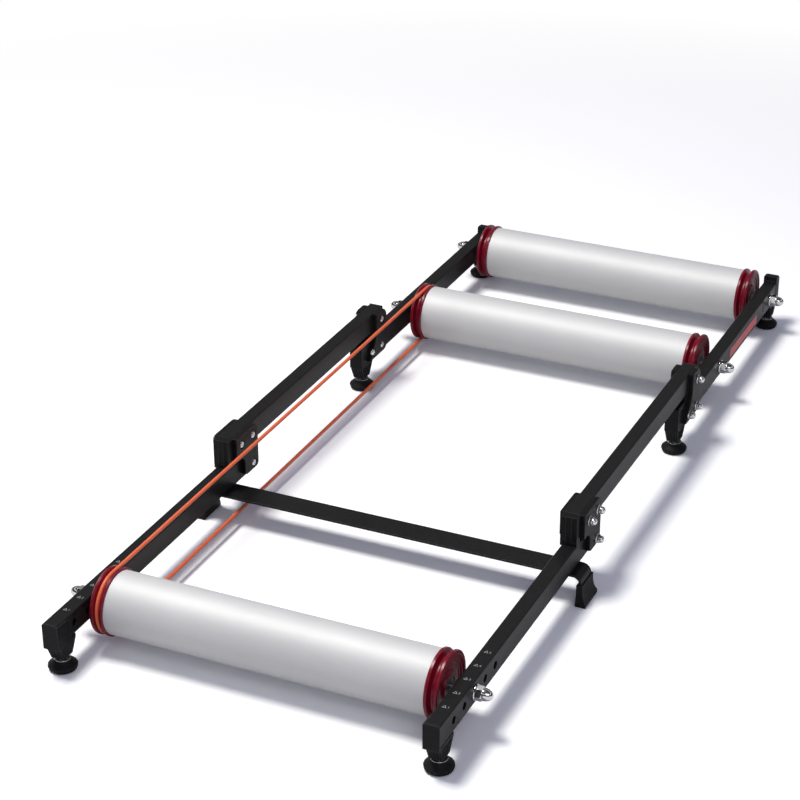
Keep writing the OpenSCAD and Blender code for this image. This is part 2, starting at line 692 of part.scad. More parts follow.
mirror([1, 0, 0]) roller_cap(axle1_y);  // front_roller_cap_left
roller_cap(axle1_y);  // front_roller_cap_right
bearing_pair(axle1_y);  // front_roller_bearings
roller_tube(axle2_y);  // middle_roller_tube
mirror([1, 0, 0]) roller_cap(axle2_y);  // middle_roller_cap_left
roller_cap(axle2_y);  // middle_roller_cap_right
bearing_pair(axle2_y);  // middle_roller_bearings
roller_tube(axle3_y);  // rear_roller_tube
mirror([1, 0, 0]) roller_cap(axle3_y);  // rear_roller_cap_left
roller_cap(axle3_y);  // rear_roller_cap_right
bearing_pair(axle3_y);  // rear_roller_bearings
drive_belt();
on_left() foot_pad(front_foot_y);  // foot_pad_front_left
on_right() foot_pad(front_foot_y);  // foot_pad_front_right
on_left() foot_pad(hinge_leg_y);  // foot_pad_hinge_left
on_right() foot_pad(hinge_leg_y);  // foot_pad_hinge_right
on_left() foot_pad(rear_foot_y);  // foot_pad_rear_left
on_right() foot_pad(rear_foot_y);  // foot_pad_rear_right
on_left() foot_stud(front_foot_y);  // foot_stud_front_left
on_right() foot_stud(front_foot_y);  // foot_stud_front_right
on_left() foot_stud(hinge_leg_y);  // foot_stud_hinge_left
on_right() foot_stud(hinge_leg_y);  // foot_stud_hinge_right
on_left() foot_stud(rear_foot_y);  // foot_stud_rear_left
on_right() foot_stud(rear_foot_y);  // foot_stud_rear_right
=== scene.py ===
# %% [markdown]
# # Folding bike rollers: the looks
# This lesson dresses a set of bike rollers whose parts were already built to size. The built parts
# are loaded first and are never moved. Most visible pieces are then modelled again with the rounded
# edges, rims and ribs of the real ones, in the same place and at the same size. The built parts could
# be bevelled as they are, but their meshes are loose triangles, and a fresh box or rod is far easier to
# shape. One unit is a metre, +X points to the right rail, +Y to the rear end and +Z up. The floor is
# z = 0.

# %% Load the built parts
import json
import math
import bmesh
import bpy
from mathutils import Matrix, Vector


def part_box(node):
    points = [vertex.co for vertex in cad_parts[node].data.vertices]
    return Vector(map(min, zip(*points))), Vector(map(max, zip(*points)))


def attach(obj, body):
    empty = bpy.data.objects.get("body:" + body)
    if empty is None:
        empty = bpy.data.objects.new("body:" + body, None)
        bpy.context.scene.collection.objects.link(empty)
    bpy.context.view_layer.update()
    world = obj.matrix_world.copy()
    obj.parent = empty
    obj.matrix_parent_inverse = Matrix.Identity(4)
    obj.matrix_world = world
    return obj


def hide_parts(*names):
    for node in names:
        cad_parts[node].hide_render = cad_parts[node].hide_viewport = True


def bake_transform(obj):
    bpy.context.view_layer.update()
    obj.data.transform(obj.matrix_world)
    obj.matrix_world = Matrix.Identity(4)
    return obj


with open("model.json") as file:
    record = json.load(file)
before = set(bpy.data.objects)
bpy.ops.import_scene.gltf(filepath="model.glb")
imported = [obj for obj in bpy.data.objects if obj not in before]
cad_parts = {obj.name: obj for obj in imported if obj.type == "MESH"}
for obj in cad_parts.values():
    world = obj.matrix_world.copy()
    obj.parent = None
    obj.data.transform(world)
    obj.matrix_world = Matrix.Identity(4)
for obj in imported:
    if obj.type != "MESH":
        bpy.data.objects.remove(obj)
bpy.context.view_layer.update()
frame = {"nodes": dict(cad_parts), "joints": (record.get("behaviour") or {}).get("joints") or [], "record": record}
MM = 0.001

# %% [markdown]
# ## The camera
# The photograph was taken from in front and to the right, about three metres away, with a long lens. A
# long lens keeps the two ends of the rollers nearly the same size. The camera is turned by a heading, a
# downward tilt and a small roll, and the lens is shifted, as for a picture that is cropped off its
# middle. It could be placed by eye, but long straight rails show every small error, so the numbers were
# fitted to points and edges that were picked in the photograph.

# %% Place the camera
view_from = Vector((1.045, -2.477, 1.472))
heading = math.radians(23.5)
tilt_down = math.radians(27.52)
camera_roll = math.radians(0.384)

bpy.ops.object.camera_add(location=view_from)
camera = bpy.context.object
camera.name = "photo_camera"
turn = (Matrix.Rotation(heading, 4, "Z")
        @ Matrix.Rotation(math.pi / 2 - tilt_down, 4, "X")
        @ Matrix.Rotation(camera_roll, 4, "Z"))
camera.matrix_world = Matrix.Translation(view_from) @ turn
camera.data.sensor_width = 36
camera.data.lens = 99.14
camera.data.shift_x = -0.0545
camera.data.shift_y = 0.0332
camera.data.clip_end = 100
bpy.context.scene.camera = camera
print("camera height", round(view_from.z, 2), "m, lens", camera.data.lens, "mm")

# %% [markdown]
# ## Selecting and shaping
# Every piece starts as a primitive. In edit mode its faces, edges or points are selected by where they
# are and which way they face, and an operator shapes them. They could be selected by number, but the
# numbers change as soon as a cut is added, and a place stays true. These few helpers keep each step
# readable.


# %% Helpers for the selection
def take(piece):
    """Selects this piece alone and makes it the active one."""
    bpy.ops.object.select_all(action="DESELECT")
    piece.select_set(True)
    bpy.context.view_layer.objects.active = piece


def edit(piece):
    """Opens a piece in edit mode with nothing selected."""
    take(piece)
    bpy.ops.object.mode_set(mode="EDIT")
    bpy.ops.mesh.select_all(action="DESELECT")


def close():
    """Goes back to object mode."""
    bpy.ops.object.mode_set(mode="OBJECT")


def pick(kind, wanted):
    """Selects each VERT, EDGE or FACE of the piece in edit mode for which wanted(place, direction)
    is true. The direction is a point's or face's normal, or the way an edge runs."""
    bpy.ops.mesh.select_mode(type=kind)
    bpy.ops.mesh.select_all(action="DESELECT")
    mesh = bmesh.from_edit_mesh(bpy.context.object.data)
    if kind == "VERT":
        found = [(v, v.co, v.normal) for v in mesh.verts]
    elif kind == "EDGE":
        found = [(e, (e.verts[0].co + e.verts[1].co) / 2, (e.verts[1].co - e.verts[0].co).normalized())
                 for e in mesh.edges]
    else:
        found = [(f, f.calc_center_median(), f.normal) for f in mesh.faces]
    for item, place, direction in found:
        if wanted(place, direction):
            item.select_set(True)
    mesh.select_flush_mode()
    bmesh.update_edit_mesh(bpy.context.object.data)


def near(a, b, slack=0.02 * MM):
    """True where two lengths are the same but for rounding."""
    return abs(a - b) < slack


print("helpers: take, edit, close, pick, near")

# %% [markdown]
# ### Drawing out, rounding and slicing
# Most shaping is one of three steps: faces are drawn out, edges are rounded, or the whole piece is
# sliced by a plane to get new edges. Each could be written out every time, but a helper keeps the
# selection and its operator together. A direction is taken as running along an axis when nearly all of
# it does, so that slightly sloped faces count too.

# %% Helpers for shaping
ALONG = 0.9


def draw_faces(wanted, way):
    """Extrudes the faces that pass the test."""
    pick("FACE", wanted)
    bpy.ops.mesh.extrude_region_move(TRANSFORM_OT_translate={"value": way})


def bevel_edges(wanted, width, steps):
    """Bevels the edges that pass the test."""
    pick("EDGE", wanted)
    bpy.ops.mesh.bevel(offset=width, segments=steps, affect="EDGES")


def slice_at(place, way):
    """Cuts new edges where a plane crosses the whole piece that is open in edit mode."""
    bpy.ops.mesh.select_all(action="SELECT")
    bpy.ops.mesh.bisect(plane_co=place, plane_no=way)


print("shaping: draw_faces, bevel_edges, slice_at")

# %% [markdown]
# ### Boxes and rods
# Rails, blocks and plates begin as boxes, and nuts, bolts, tubes and caps begin as rods. Each is added at
# its size and place. Its object could keep that place, but every built part has its object at the origin
# and its place in its mesh, so the new pieces do the same.

# %% Helpers for primitives
def box_between(name, low, high):
    """A box from its lowest to its highest corner."""
    low = Vector(low)
    high = Vector(high)
    bpy.ops.object.select_all(action="DESELECT")
    bpy.ops.mesh.primitive_cube_add(size=1, location=(low + high) / 2, scale=high - low)
    return settled(name)


def rod_along(name, axis, middle, radius, length, sides):
    """A closed cylinder along X, Y or Z."""
    lying = {"X": (0, math.pi / 2, 0), "Y": (math.pi / 2, 0, 0), "Z": (0, 0, 0)}[axis]
    bpy.ops.object.select_all(action="DESELECT")
    bpy.ops.mesh.primitive_cylinder_add(vertices=sides, radius=radius, depth=length, location=middle,
                                        rotation=lying)
    return settled(name)


def settled(name):
    """Names the new piece and moves its place into its mesh, so that its object is at the origin."""
    piece = bpy.context.object
    piece.name = name
    piece.data.name = name
    bpy.ops.object.transform_apply(location=True, rotation=True, scale=True)
    return piece


print("primitives: box_between, rod_along")

# %% [markdown]
# ### Cuts and rounded edges
# No real edge is perfectly sharp, and a narrow bevel is what catches the light. Modifiers make the cuts
# and the bevels. They could stay live, but they are applied at once, so that the next step finds plain
# faces.

# %% Helpers for cuts and edges
bevel_from = math.radians(35)
smooth_below = math.radians(50)


def modify(piece, kind, **settings):
    """Adds one modifier with its settings and applies it."""
    take(piece)
    modifier = piece.modifiers.new(kind.lower(), kind)
    for setting, value in settings.items():
        setattr(modifier, setting, value)
    bpy.ops.object.modifier_apply(modifier=modifier.name)


def combine(piece, other, operation):
    """Cuts, unites or intersects a piece with another closed solid, which is used up."""
    modify(piece, "BOOLEAN", operation=operation, object=other, solver="MANIFOLD")
    bpy.data.objects.remove(other)


def cut(piece, cutter):
    """Takes the cutter's volume out of the piece."""
    combine(piece, cutter, "DIFFERENCE")


def fuse(piece, *others):
    """Joins closed solids into one."""
    for other in others:
        combine(piece, other, "UNION")
    return piece


def soften(piece, width, segments=2):
    """Rounds the sharp edges and smooths the shading, with the flat faces kept flat."""
    if width:
        modify(piece, "BEVEL", width=width, segments=segments, limit_method="ANGLE",
               angle_limit=bevel_from, use_clamp_overlap=True)
    take(piece)
    bpy.ops.object.shade_smooth_by_angle(angle=smooth_below)
    modify(piece, "WEIGHTED_NORMAL", keep_sharp=True, weight=60)
    return piece


def face_out(piece):
    """Merges doubled points and turns every face outwards."""
    edit(piece)
    bpy.ops.mesh.select_all(action="SELECT")
    bpy.ops.mesh.remove_doubles(threshold=0.005 * MM)
    bpy.ops.mesh.normals_make_consistent(inside=False)
    close()
    return piece


print("cuts and edges: modify, combine, cut, fuse, soften, face_out")

# %% [markdown]
# ### Copies and dressing
# What repeats is modelled once and copied. A copy could share its mesh, but a mirrored one needs its
# faces turned, so each has a mesh of its own. The last helper gives a finished piece its material,
# hangs it on the body that carries it, and hides the built part it stands for.

# %% Helpers for copies and dressing
def copy_of(piece, name, moved=(0, 0, 0), mirrored=False):
    """A copy with its own mesh, first mirrored to the other side of x = 0 if asked, then moved."""
    twin = piece.copy()
    twin.data = piece.data.copy()
    twin.name = name
    twin.data.name = name
    bpy.context.scene.collection.objects.link(twin)
    flip = Matrix.Scale(-1, 4, (1, 0, 0)) if mirrored else Matrix.Identity(4)
    twin.data.transform(Matrix.Translation(moved) @ flip)
    if mirrored:
        face_out(twin)
        soften(twin, 0)
    return twin


def join(name, pieces):
    """Makes several pieces one."""
    bpy.ops.object.select_all(action="DESELECT")
    for piece in pieces:
        piece.select_set(True)
    bpy.context.view_layer.objects.active = pieces[0]
    bpy.ops.object.join()
    pieces[0].name = name
    return pieces[0]


def drill(piece, x, bores, length, sides=40):
    """Cuts round holes along X, with their middle at x. Each bore is its y, its z and its radius."""
    drills = [rod_along("drill", "X", (x, y, z), radius, length, sides) for y, z, radius in bores]
    cut(piece, join("drills", drills))


def dress(piece, material, body, node=None):
    """Gives a finished piece its material and its body, and hides the built part it stands for."""
    piece.data.materials.clear()
    piece.data.materials.append(material)
    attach(piece, body)
    if node:
        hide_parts(node)


print("copies and dressing: copy_of, join, drill, dress")

# %% [markdown]
# ## Shared effects
# Paint, moulded plastic and metal are never one even colour. Three effects are shared: a slow change of
# tone over the surface, a fine grain that catches the light, and a painted highlight that lightens the
# edges. They could be painted pictures, but noise in space has no seams and needs no file. Each is a
# node group with named inputs, placed in several materials with its own values.


# %% Make an empty node group
def new_group(name, inputs, outputs):
    """A node group with its sockets, and its two end nodes."""
    group = bpy.data.node_groups.new(name, "ShaderNodeTree")
    kinds = {"value": "NodeSocketFloat", "colour": "NodeSocketColor", "vector": "NodeSocketVector"}
    for label, kind, start in inputs:
        socket = group.interface.new_socket(label, in_out="INPUT", socket_type=kinds[kind])
        if start is not None:
            socket.default_value = start
    for label, kind in outputs:
        group.interface.new_socket(label, in_out="OUTPUT", socket_type=kinds[kind])
    return group, group.nodes.new("NodeGroupInput"), group.nodes.new("NodeGroupOutput")


def noise_node(group, vector, scale, detail):
    """A noise texture on a vector, with a fixed or a linked scale."""
    noise = group.nodes.new("ShaderNodeTexNoise")
    noise.inputs["Detail"].default_value = detail
    group.links.new(vector, noise.inputs["Vector"])
    if isinstance(scale, (int, float)):
        noise.inputs["Scale"].default_value = scale
    else:
        group.links.new(scale, noise.inputs["Scale"])
    return noise


def maths(group, operation, first, second):
    """A maths node whose two inputs are sockets or numbers."""
    node = group.nodes.new("ShaderNodeMath")
    node.operation = operation
    for socket, value in zip(node.inputs, (first, second)):
        if isinstance(value, (int, float)):
            socket.default_value = value
        else:
            group.links.new(value, socket)
    return node.outputs[0]


print("node helpers: new_group, noise_node, maths")

# %% [markdown]
# ### A slow change of tone
# No paint is laid on perfectly evenly, and plastic has faint clouds where it cooled. Such clouds could
# be painted, but a soft noise between two tones needs only two colours and a size. The size is small on
# the blacks, where it stands for the speckle of the surface, and large on the silver and the red.

# %% A slow change of tone
tone_group, tone_in, tone_out = new_group(
    "slow_tone",
    [("Place", "vector", None), ("Spots per metre", "value", 9.0),
     ("Light", "colour", (0.5, 0.5, 0.5, 1)), ("Dark", "colour", (0.4, 0.4, 0.4, 1))],
    [("Colour", "colour")])
tone_noise = noise_node(tone_group, tone_in.outputs["Place"], tone_in.outputs["Spots per metre"], 4.0)
tone_mix = tone_group.nodes.new("ShaderNodeMix")
tone_mix.data_type = "RGBA"
tone_group.links.new(tone_noise.outputs["Fac"], tone_mix.inputs["Factor"])
tone_group.links.new(tone_in.outputs["Dark"], tone_mix.inputs[6])
tone_group.links.new(tone_in.outputs["Light"], tone_mix.inputs[7])
tone_group.links.new(tone_mix.outputs[2], tone_out.inputs["Colour"])
print("group:", tone_group.name)

# %% [markdown]
# ### A fine grain
# Powder coat has a fine orange peel, moulds are etched, and turned metal has faint lines. Each could
# have a texture of its own, but one noise serves for all of them when its place is first multiplied by
# a stretch. A small number along an axis draws the grains out along it.

# %% A fine grain, which can be drawn out along one direction
grain_group, grain_in, grain_out = new_group(
    "fine_grain",
    [("Place", "vector", None), ("Stretch", "vector", (1, 1, 1)), ("Grains per metre", "value", 900.0),
     ("Smooth", "value", 0.4), ("Rough", "value", 0.6)],
    [("Height", "value"), ("Roughness", "value")])
grain_stretch = grain_group.nodes.new("ShaderNodeVectorMath")
grain_stretch.operation = "MULTIPLY"
grain_group.links.new(grain_in.outputs["Place"], grain_stretch.inputs[0])
grain_group.links.new(grain_in.outputs["Stretch"], grain_stretch.inputs[1])
grain_noise = noise_node(grain_group, grain_stretch.outputs[0], grain_in.outputs["Grains per metre"], 3.0)
grain_span = maths(grain_group, "SUBTRACT", grain_in.outputs["Rough"], grain_in.outputs["Smooth"])
grain_share = maths(grain_group, "MULTIPLY", grain_noise.outputs["Fac"], grain_span)
grain_rough = maths(grain_group, "ADD", grain_share, grain_in.outputs["Smooth"])
grain_group.links.new(grain_noise.outputs["Fac"], grain_out.inputs["Height"])
grain_group.links.new(grain_rough, grain_out.inputs["Roughness"])
print("group:", grain_group.name)

# %% [markdown]
# ### Painted highlights along the edges
# The edges are painted lighter, as a highlight that stands in for the light they catch. Edges could be
# found by the mesh's own sharpness, but a large bevelled plate has few points to hold it. The Bevel node
# gives a normal as if the edges were rounder, and where it differs from the true normal, an edge is near.
# A noise breaks the line up.

# %% Painted highlights along the edges
edge_highlight_group, edge_in, edge_out = new_group(
    "painted_edge_highlight",
    [("Place", "vector", None), ("Width", "value", 1.2 * MM), ("Amount", "value", 1.0)],
    [("Mask", "value")])
edge_round = edge_highlight_group.nodes.new("ShaderNodeBevel")
edge_round.samples = 4
edge_plain = edge_highlight_group.nodes.new("ShaderNodeNewGeometry")
edge_dot = edge_highlight_group.nodes.new("ShaderNodeVectorMath")
edge_dot.operation = "DOT_PRODUCT"
edge_highlight_group.links.new(edge_in.outputs["Width"], edge_round.inputs["Radius"])
edge_highlight_group.links.new(edge_round.outputs["Normal"], edge_dot.inputs[0])
edge_highlight_group.links.new(edge_plain.outputs["Normal"], edge_dot.inputs[1])
# Painted highlight: this mask is strongest along the edges, where the colour is lightened.
edge_turned = maths(edge_highlight_group, "SUBTRACT", 1.0, edge_dot.outputs["Value"])
edge_patchy = noise_node(edge_highlight_group, edge_in.outputs["Place"], 160.0, 3.0)
painted_edge_shine = maths(edge_highlight_group, "MULTIPLY", edge_turned, edge_patchy.outputs["Fac"])
edge_scaled = maths(edge_highlight_group, "MULTIPLY", painted_edge_shine, edge_in.outputs["Amount"])
edge_limited = maths(edge_highlight_group, "MINIMUM", edge_scaled, 1.0)
edge_highlight_group.links.new(maths(edge_highlight_group, "MAXIMUM", edge_limited, 0.0), edge_out.inputs["Mask"])
print("group:", edge_highlight_group.name)

# %% [markdown]
# ## Materials
# One function makes the body of every finish: the slow tone feeds the colour, the grain feeds the
# roughness and a small bump, and a painted highlight lightens the colour along the edges. Each finish
# could be drawn by hand as its own tree, but the real ones differ in their values and not in their make.
# What is the same all over a surface, such as how metallic it is or how thick its clear coat is, is set
# on the shader itself.


# %% The function that builds a finish
def finish(name, light, dark, smooth, rough, grains, bump, stretch=(1, 1, 1), edge=None, highlight_amount=0.0,
           spots=9.0, **fixed):
    """A material: two close tones, a range of roughness, a grain with its bump, and fixed values."""
    material = bpy.data.materials.new(name)
    material.use_nodes = True
    tree = material.node_tree
    shader = tree.nodes["Principled BSDF"]
    place = tree.nodes.new("ShaderNodeTexCoord").outputs["Object"]

    tone = tree.nodes.new("ShaderNodeGroup")
    tone.node_tree = tone_group
    tone.inputs["Spots per metre"].default_value = spots
    tone.inputs["Light"].default_value = (*light, 1)
    tone.inputs["Dark"].default_value = (*dark, 1)
    tree.links.new(place, tone.inputs["Place"])
    colour = tone.outputs["Colour"]

    # Where an edge colour is given, a painted highlight lightens the colour towards it along the edges.
    if edge:
        highlight_node = tree.nodes.new("ShaderNodeGroup")
        highlight_node.node_tree = edge_highlight_group
        highlight_node.inputs["Amount"].default_value = highlight_amount
        tree.links.new(place, highlight_node.inputs["Place"])
        over = tree.nodes.new("ShaderNodeMix")
        over.data_type = "RGBA"
        over.inputs[7].default_value = (*edge, 1)
        tree.links.new(highlight_node.outputs["Mask"], over.inputs["Factor"])
        tree.links.new(colour, over.inputs[6])
        colour = over.outputs[2]
    tree.links.new(colour, shader.inputs["Base Color"])

    grain = tree.nodes.new("ShaderNodeGroup")
    grain.node_tree = grain_group
    grain.inputs["Stretch"].default_value = stretch
    grain.inputs["Grains per metre"].default_value = grains
    grain.inputs["Smooth"].default_value = smooth
    grain.inputs["Rough"].default_value = rough
    tree.links.new(place, grain.inputs["Place"])
    tree.links.new(grain.outputs["Roughness"], shader.inputs["Roughness"])
    if bump:
        raised = tree.nodes.new("ShaderNodeBump")
        raised.inputs["Strength"].default_value = bump
        raised.inputs["Distance"].default_value = 0.1 * MM
        tree.links.new(grain.outputs["Height"], raised.inputs["Height"])
        tree.links.new(raised.outputs["Normal"], shader.inputs["Normal"])
    for label, value in fixed.items():
        shader.inputs[label.replace("_", " ")].default_value = value
    return material


print("materials: finish, with", tone_group.name, grain_group.name, edge_highlight_group.name)

# %% [markdown]
# ### The black finishes and the belt
# The rails have a fine powder coat, the legs and plates are moulded plastic and the feet are rubber. All
# are nearly black. They could share one black, but then the frame would look cast in one piece, so each
# has its own roughness, grain and painted highlight along the edges. The belt is new orange rubber without
# a painted edge highlight.

# %% Powder-coated steel, moulded plastic and rubber
# The edge colour of each black is a painted highlight along its edges.
frame_black = finish(
    "frame_black", light=(0.020, 0.020, 0.020), dark=(0.003, 0.003, 0.004), smooth=0.28, rough=0.50,
    grains=900, bump=0.5, spots=300.0, edge=(0.08, 0.08, 0.082), highlight_amount=7.0,
    Specular_IOR_Level=0.15)
moulded_black = finish(
    "moulded_black", light=(0.012, 0.012, 0.013), dark=(0.003, 0.003, 0.003), smooth=0.36, rough=0.56,
    grains=900, bump=0.5, spots=260.0, edge=(0.07, 0.07, 0.072), highlight_amount=7.0,
    Specular_IOR_Level=0.14)
foot_rubber = finish(
    "foot_rubber", light=(0.011, 0.011, 0.012), dark=(0.004, 0.004, 0.005), smooth=0.45, rough=0.72,
    grains=700, bump=0.4, spots=160.0, edge=(0.06, 0.06, 0.062), highlight_amount=4.0,
    Specular_IOR_Level=0.16)
belt_orange = finish(
    "belt_orange", light=(0.94, 0.19, 0.07), dark=(0.86, 0.14, 0.05), smooth=0.38, rough=0.55,
    grains=1200, bump=0.2, spots=30.0)
print("black paint, black plastic, rubber, belt")

# %% [markdown]
# ### The metals and the red of the caps
# The tubes are satin aluminium with a faint grain along them, nuts and bolts are chromed, and the caps
# are red under a thin clear coat. A pure metal would only mirror the room and lose its pale tone, so the
# tubes are partly metallic, as a metal under a matt skin is.

# %% The metals and the glossy red of the caps
roller_silver = finish(
    "roller_silver", light=(0.78, 0.777, 0.77), dark=(0.70, 0.697, 0.69), smooth=0.54, rough=0.70,
    grains=260, bump=0.15, spots=14.0, stretch=(0.3, 4, 4), Metallic=0.28)
# The pale red edge colour of the caps is a painted highlight along their edges.
cap_red = finish(
    "cap_red", light=(0.25, 0.004, 0.022), dark=(0.15, 0.002, 0.010), smooth=0.22, rough=0.36,
    grains=700, bump=0.08, spots=60.0, edge=(0.60, 0.09, 0.14), highlight_amount=2.5,
    Coat_Weight=0.08, Coat_Roughness=0.2, Specular_IOR_Level=0.26)
chrome = finish(
    "chrome", light=(0.74, 0.74, 0.75), dark=(0.66, 0.66, 0.67), smooth=0.09, rough=0.20,
    grains=500, bump=0.05, Metallic=1.0)
bright_steel = finish(
    "bright_steel", light=(0.72, 0.73, 0.75), dark=(0.64, 0.65, 0.66), smooth=0.18, rough=0.34,
    grains=900, bump=0.15, stretch=(6, 1, 1), Metallic=1.0)
bearing_seal = finish(
    "bearing_seal", light=(0.030, 0.030, 0.031), dark=(0.020, 0.020, 0.021), smooth=0.35, rough=0.5,
    grains=900, bump=0.12)
print("tube silver, cap red, chrome, steel")

# %% [markdown]
# ### Print and strip
# The hole numbers are printed in grey, and the strip is a thin red film. Both are even and nearly matt.
# A plain colour might do at this size, but they use the same finish with hardly any bump, so that they
# take the light as the surfaces around them do.

# %% Printed marks and the red strip
print_grey = finish(
    "print_grey", light=(0.50, 0.50, 0.51), dark=(0.30, 0.30, 0.31), smooth=0.5, rough=0.65,
    grains=900, bump=0.1)
strip_red = finish(
    "strip_red", light=(0.90, 0.12, 0.12), dark=(0.80, 0.09, 0.095), smooth=0.35, rough=0.5,
    grains=600, bump=0.08, spots=20.0)
print("print grey, strip red")

# %% [markdown]
# ## Where things are
# The built parts say where every piece belongs. Their places could be typed in again, but a typed place
# goes wrong as soon as a part is moved. The two fold joints give the pivot bolts, the mounts give the
# row of axle holes, and the box of a part gives its place and size.


# %% Read places from the built parts
def middle_of(node):
    """The middle of a built part's box."""
    low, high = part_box(node)
    return (low + high) / 2


joints = {joint["name"]: joint for joint in frame["joints"]}
front_pin = Vector(joints["front_fold"]["pos_m"])
rear_pin = Vector(joints["rear_fold"]["pos_m"])
mounts = {mount["name"]: mount for mount in frame["record"]["mounts"]}
hole_ys = sorted(mount["pos_m"][1] for name, mount in mounts.items() if name.startswith("axle_hole"))
first_hole_y = hole_ys[0]
last_hole_y = hole_ys[-1]
axle_z = front_pin.z
front_axle_y = middle_of("front_axle").y
middle_axle_y = middle_of("middle_axle").y
rear_axle_y = middle_of("rear_axle").y
rail_x = middle_of("front_rail_right").x
rail_half = 10 * MM
rail_h = 30 * MM
low_rail_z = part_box("front_rail_right")[0].z
low_rail_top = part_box("front_rail_right")[1].z
high_rail_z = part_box("middle_rail_right")[0].z
bolt_pitch = 31 * MM
side_signs = {"left": -1, "right": 1}
print("front pin y", round(front_pin.y, 3), "rear pin y", round(rear_pin.y, 3))

# %% [markdown]
# ## Rails
# A rail is a steel tube of oblong section with soft long edges. The end faces could be deleted and a
# Solidify modifier could add the wall. Here the box stays closed all the time: its long edges are
# bevelled, both ends are inset by the wall, and a bridge between the two inset faces makes it hollow.
# The holes are cut last, so that one bevel rounds their rims and the cut ends together.

# %% Make a rail
rail_wall = 1.5 * MM
rail_edge = 2.2 * MM
cut_rim = 0.3 * MM
slot_w = 3.4 * MM
slot_h = 12 * MM


def rail(name, node, body, bores, slot_y=None):
    """A hollow rail in the place of a built part. Each bore is its y, its z and its radius. A slot, if
    asked for, goes through the outer wall only."""
    low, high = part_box(node)
    piece = box_between(name, low, high)
    edit(piece)
    bevel_edges(lambda place, way: abs(way.y) > ALONG, rail_edge, 4)
    pick("FACE", lambda place, way: abs(way.y) > ALONG)
    bpy.ops.mesh.inset(thickness=rail_wall)
    bpy.ops.mesh.bridge_edge_loops()
    close()
    middle_x = (low.x + high.x) / 2
    drill(piece, middle_x, bores, 4 * rail_half)
    if slot_y is not None:
        outer_x = high.x if middle_x > 0 else low.x
        middle_z = (low.z + high.z) / 2
        slot_low = (outer_x - 2 * rail_wall, slot_y - slot_w / 2, middle_z - slot_h / 2)
        slot_high = (outer_x + 2 * rail_wall, slot_y + slot_w / 2, middle_z + slot_h / 2)
        cut(piece, box_between("slot", slot_low, slot_high))
    soften(piece, cut_rim)
    dress(piece, frame_black, body, node)


print("rail wall", rail_wall / MM, "mm")

# %% [markdown]
# ### The three pairs
# The front pair has five axle holes, so that the front roller can be set for longer and shorter bicycles.
# The middle and rear pairs have holes for their bolts and axles. Each rail could be written out, but left
# and right are alike, so one loop makes both sides.

# %% Six rails
axle_bore = 5.2 * MM
bolt_bore = 3.2 * MM
hole_count = 5
hole_step = (last_hole_y - first_hole_y) / (hole_count - 1)
hole_rows = [first_hole_y + i * hole_step for i in range(hole_count)]
slot_ahead = 37 * MM

front_bores = [(y, axle_z, axle_bore) for y in hole_rows]
front_bores.append((front_pin.y, front_pin.z, bolt_bore))
middle_bores = [(y, rear_pin.z, bolt_bore) for y in (front_pin.y, front_pin.y - bolt_pitch, rear_pin.y)]
rear_bores = [(rear_pin.y, axle_z, bolt_bore), (rear_pin.y - bolt_pitch, axle_z, bolt_bore),
              (middle_axle_y, axle_z, axle_bore), (rear_axle_y, axle_z, axle_bore)]
for side in side_signs:
    rail(f"rail_front_{side}", f"front_rail_{side}", "front_frame", front_bores)
    rail(f"rail_middle_{side}", f"middle_rail_{side}", "middle_frame", middle_bores)
    rail(f"rail_rear_{side}", f"rear_rail_{side}", "rear_frame", rear_bores, rear_axle_y - slot_ahead)
print("rails with", hole_count, "axle holes each in front")

# %% [markdown]
# ## Legs
# Each leg is a moulded block that tapers down to its screw foot, with shallow flutes all round. The
# flutes could be cut out one by one, but they would not follow the taper. So the block is sliced into
# columns while it is still straight, and then its lower end is drawn in, which takes the columns with
# it. Each column's face is inset and pushed in, which leaves ribs between.

# %% The fluted taper
leg_l = 34 * MM
leg_low_l = 20 * MM
leg_low_w = 17 * MM
leg_low_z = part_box("front_leg_right")[0].z
collar_h = 4 * MM
rib_half = 0.75 * MM
flute_depth = 1.1 * MM
columns_across = 5
columns_along = 8
screw_hole_r = 4.1 * MM
screw_hole_h = 18 * MM


def fluted_leg(name, x, y):
    """The tapered and fluted block between a rail and its foot."""
    piece = box_between(name, (x - rail_half, y - leg_l / 2, leg_low_z),
                        (x + rail_half, y + leg_l / 2, low_rail_z))
    edit(piece)
    slice_at((x, y, low_rail_z - collar_h), (0, 0, 1))
    for i in range(1, columns_across):
        slice_at((x - rail_half + i * 2 * rail_half / columns_across, y, 0), (1, 0, 0))
    for i in range(1, columns_along):
        slice_at((x, y - leg_l / 2 + i * leg_l / columns_along, 0), (0, 1, 0))
    pick("VERT", lambda place, way: near(place.z, leg_low_z))
    bpy.ops.transform.resize(value=(leg_low_w / (2 * rail_half), leg_low_l / leg_l, 1))
    pick("FACE", lambda place, way: place.z < low_rail_z - collar_h and abs(way.z) < ALONG)
    bpy.ops.mesh.inset(thickness=rib_half, depth=-flute_depth, use_individual=True)
    close()
    screw_hole = rod_along("screw_hole", "Z", (x, y, leg_low_z + screw_hole_h / 2 - MM), screw_hole_r,
                           screw_hole_h + 2 * MM, 32)
    cut(piece, screw_hole)
    return piece


def moulded(piece, body, node):
    """Dresses a finished piece in the moulded black."""
    dress(piece, moulded_black, body, node)


print("leg", leg_l / MM, "mm long at the rail,", leg_low_l / MM, "mm at the foot")

# %% [markdown]
# ### Front legs
# The moulding of a front leg goes on past its foot: a lip runs forward under the rail and turns up as a
# cap over the rail's end, and a thin cheek lies against the rail's inner side. The lip and the cap are
# one box with an extruded end. The cheek is a box of its own, because its rounded corner is easier to
# bevel before the two are fused.

# %% Front legs: the moulding also caps the rail's end
front_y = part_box("front_leg_right")[0].y
front_foot_y = middle_of("foot_pad_front_right").y
cap_t = 2 * MM
cheek_t = 0.9 * MM
cheek_l = 27 * MM
cheek_top = low_rail_top - 1.5 * MM
cheek_corner = 7 * MM
fused_in = 0.5 * MM


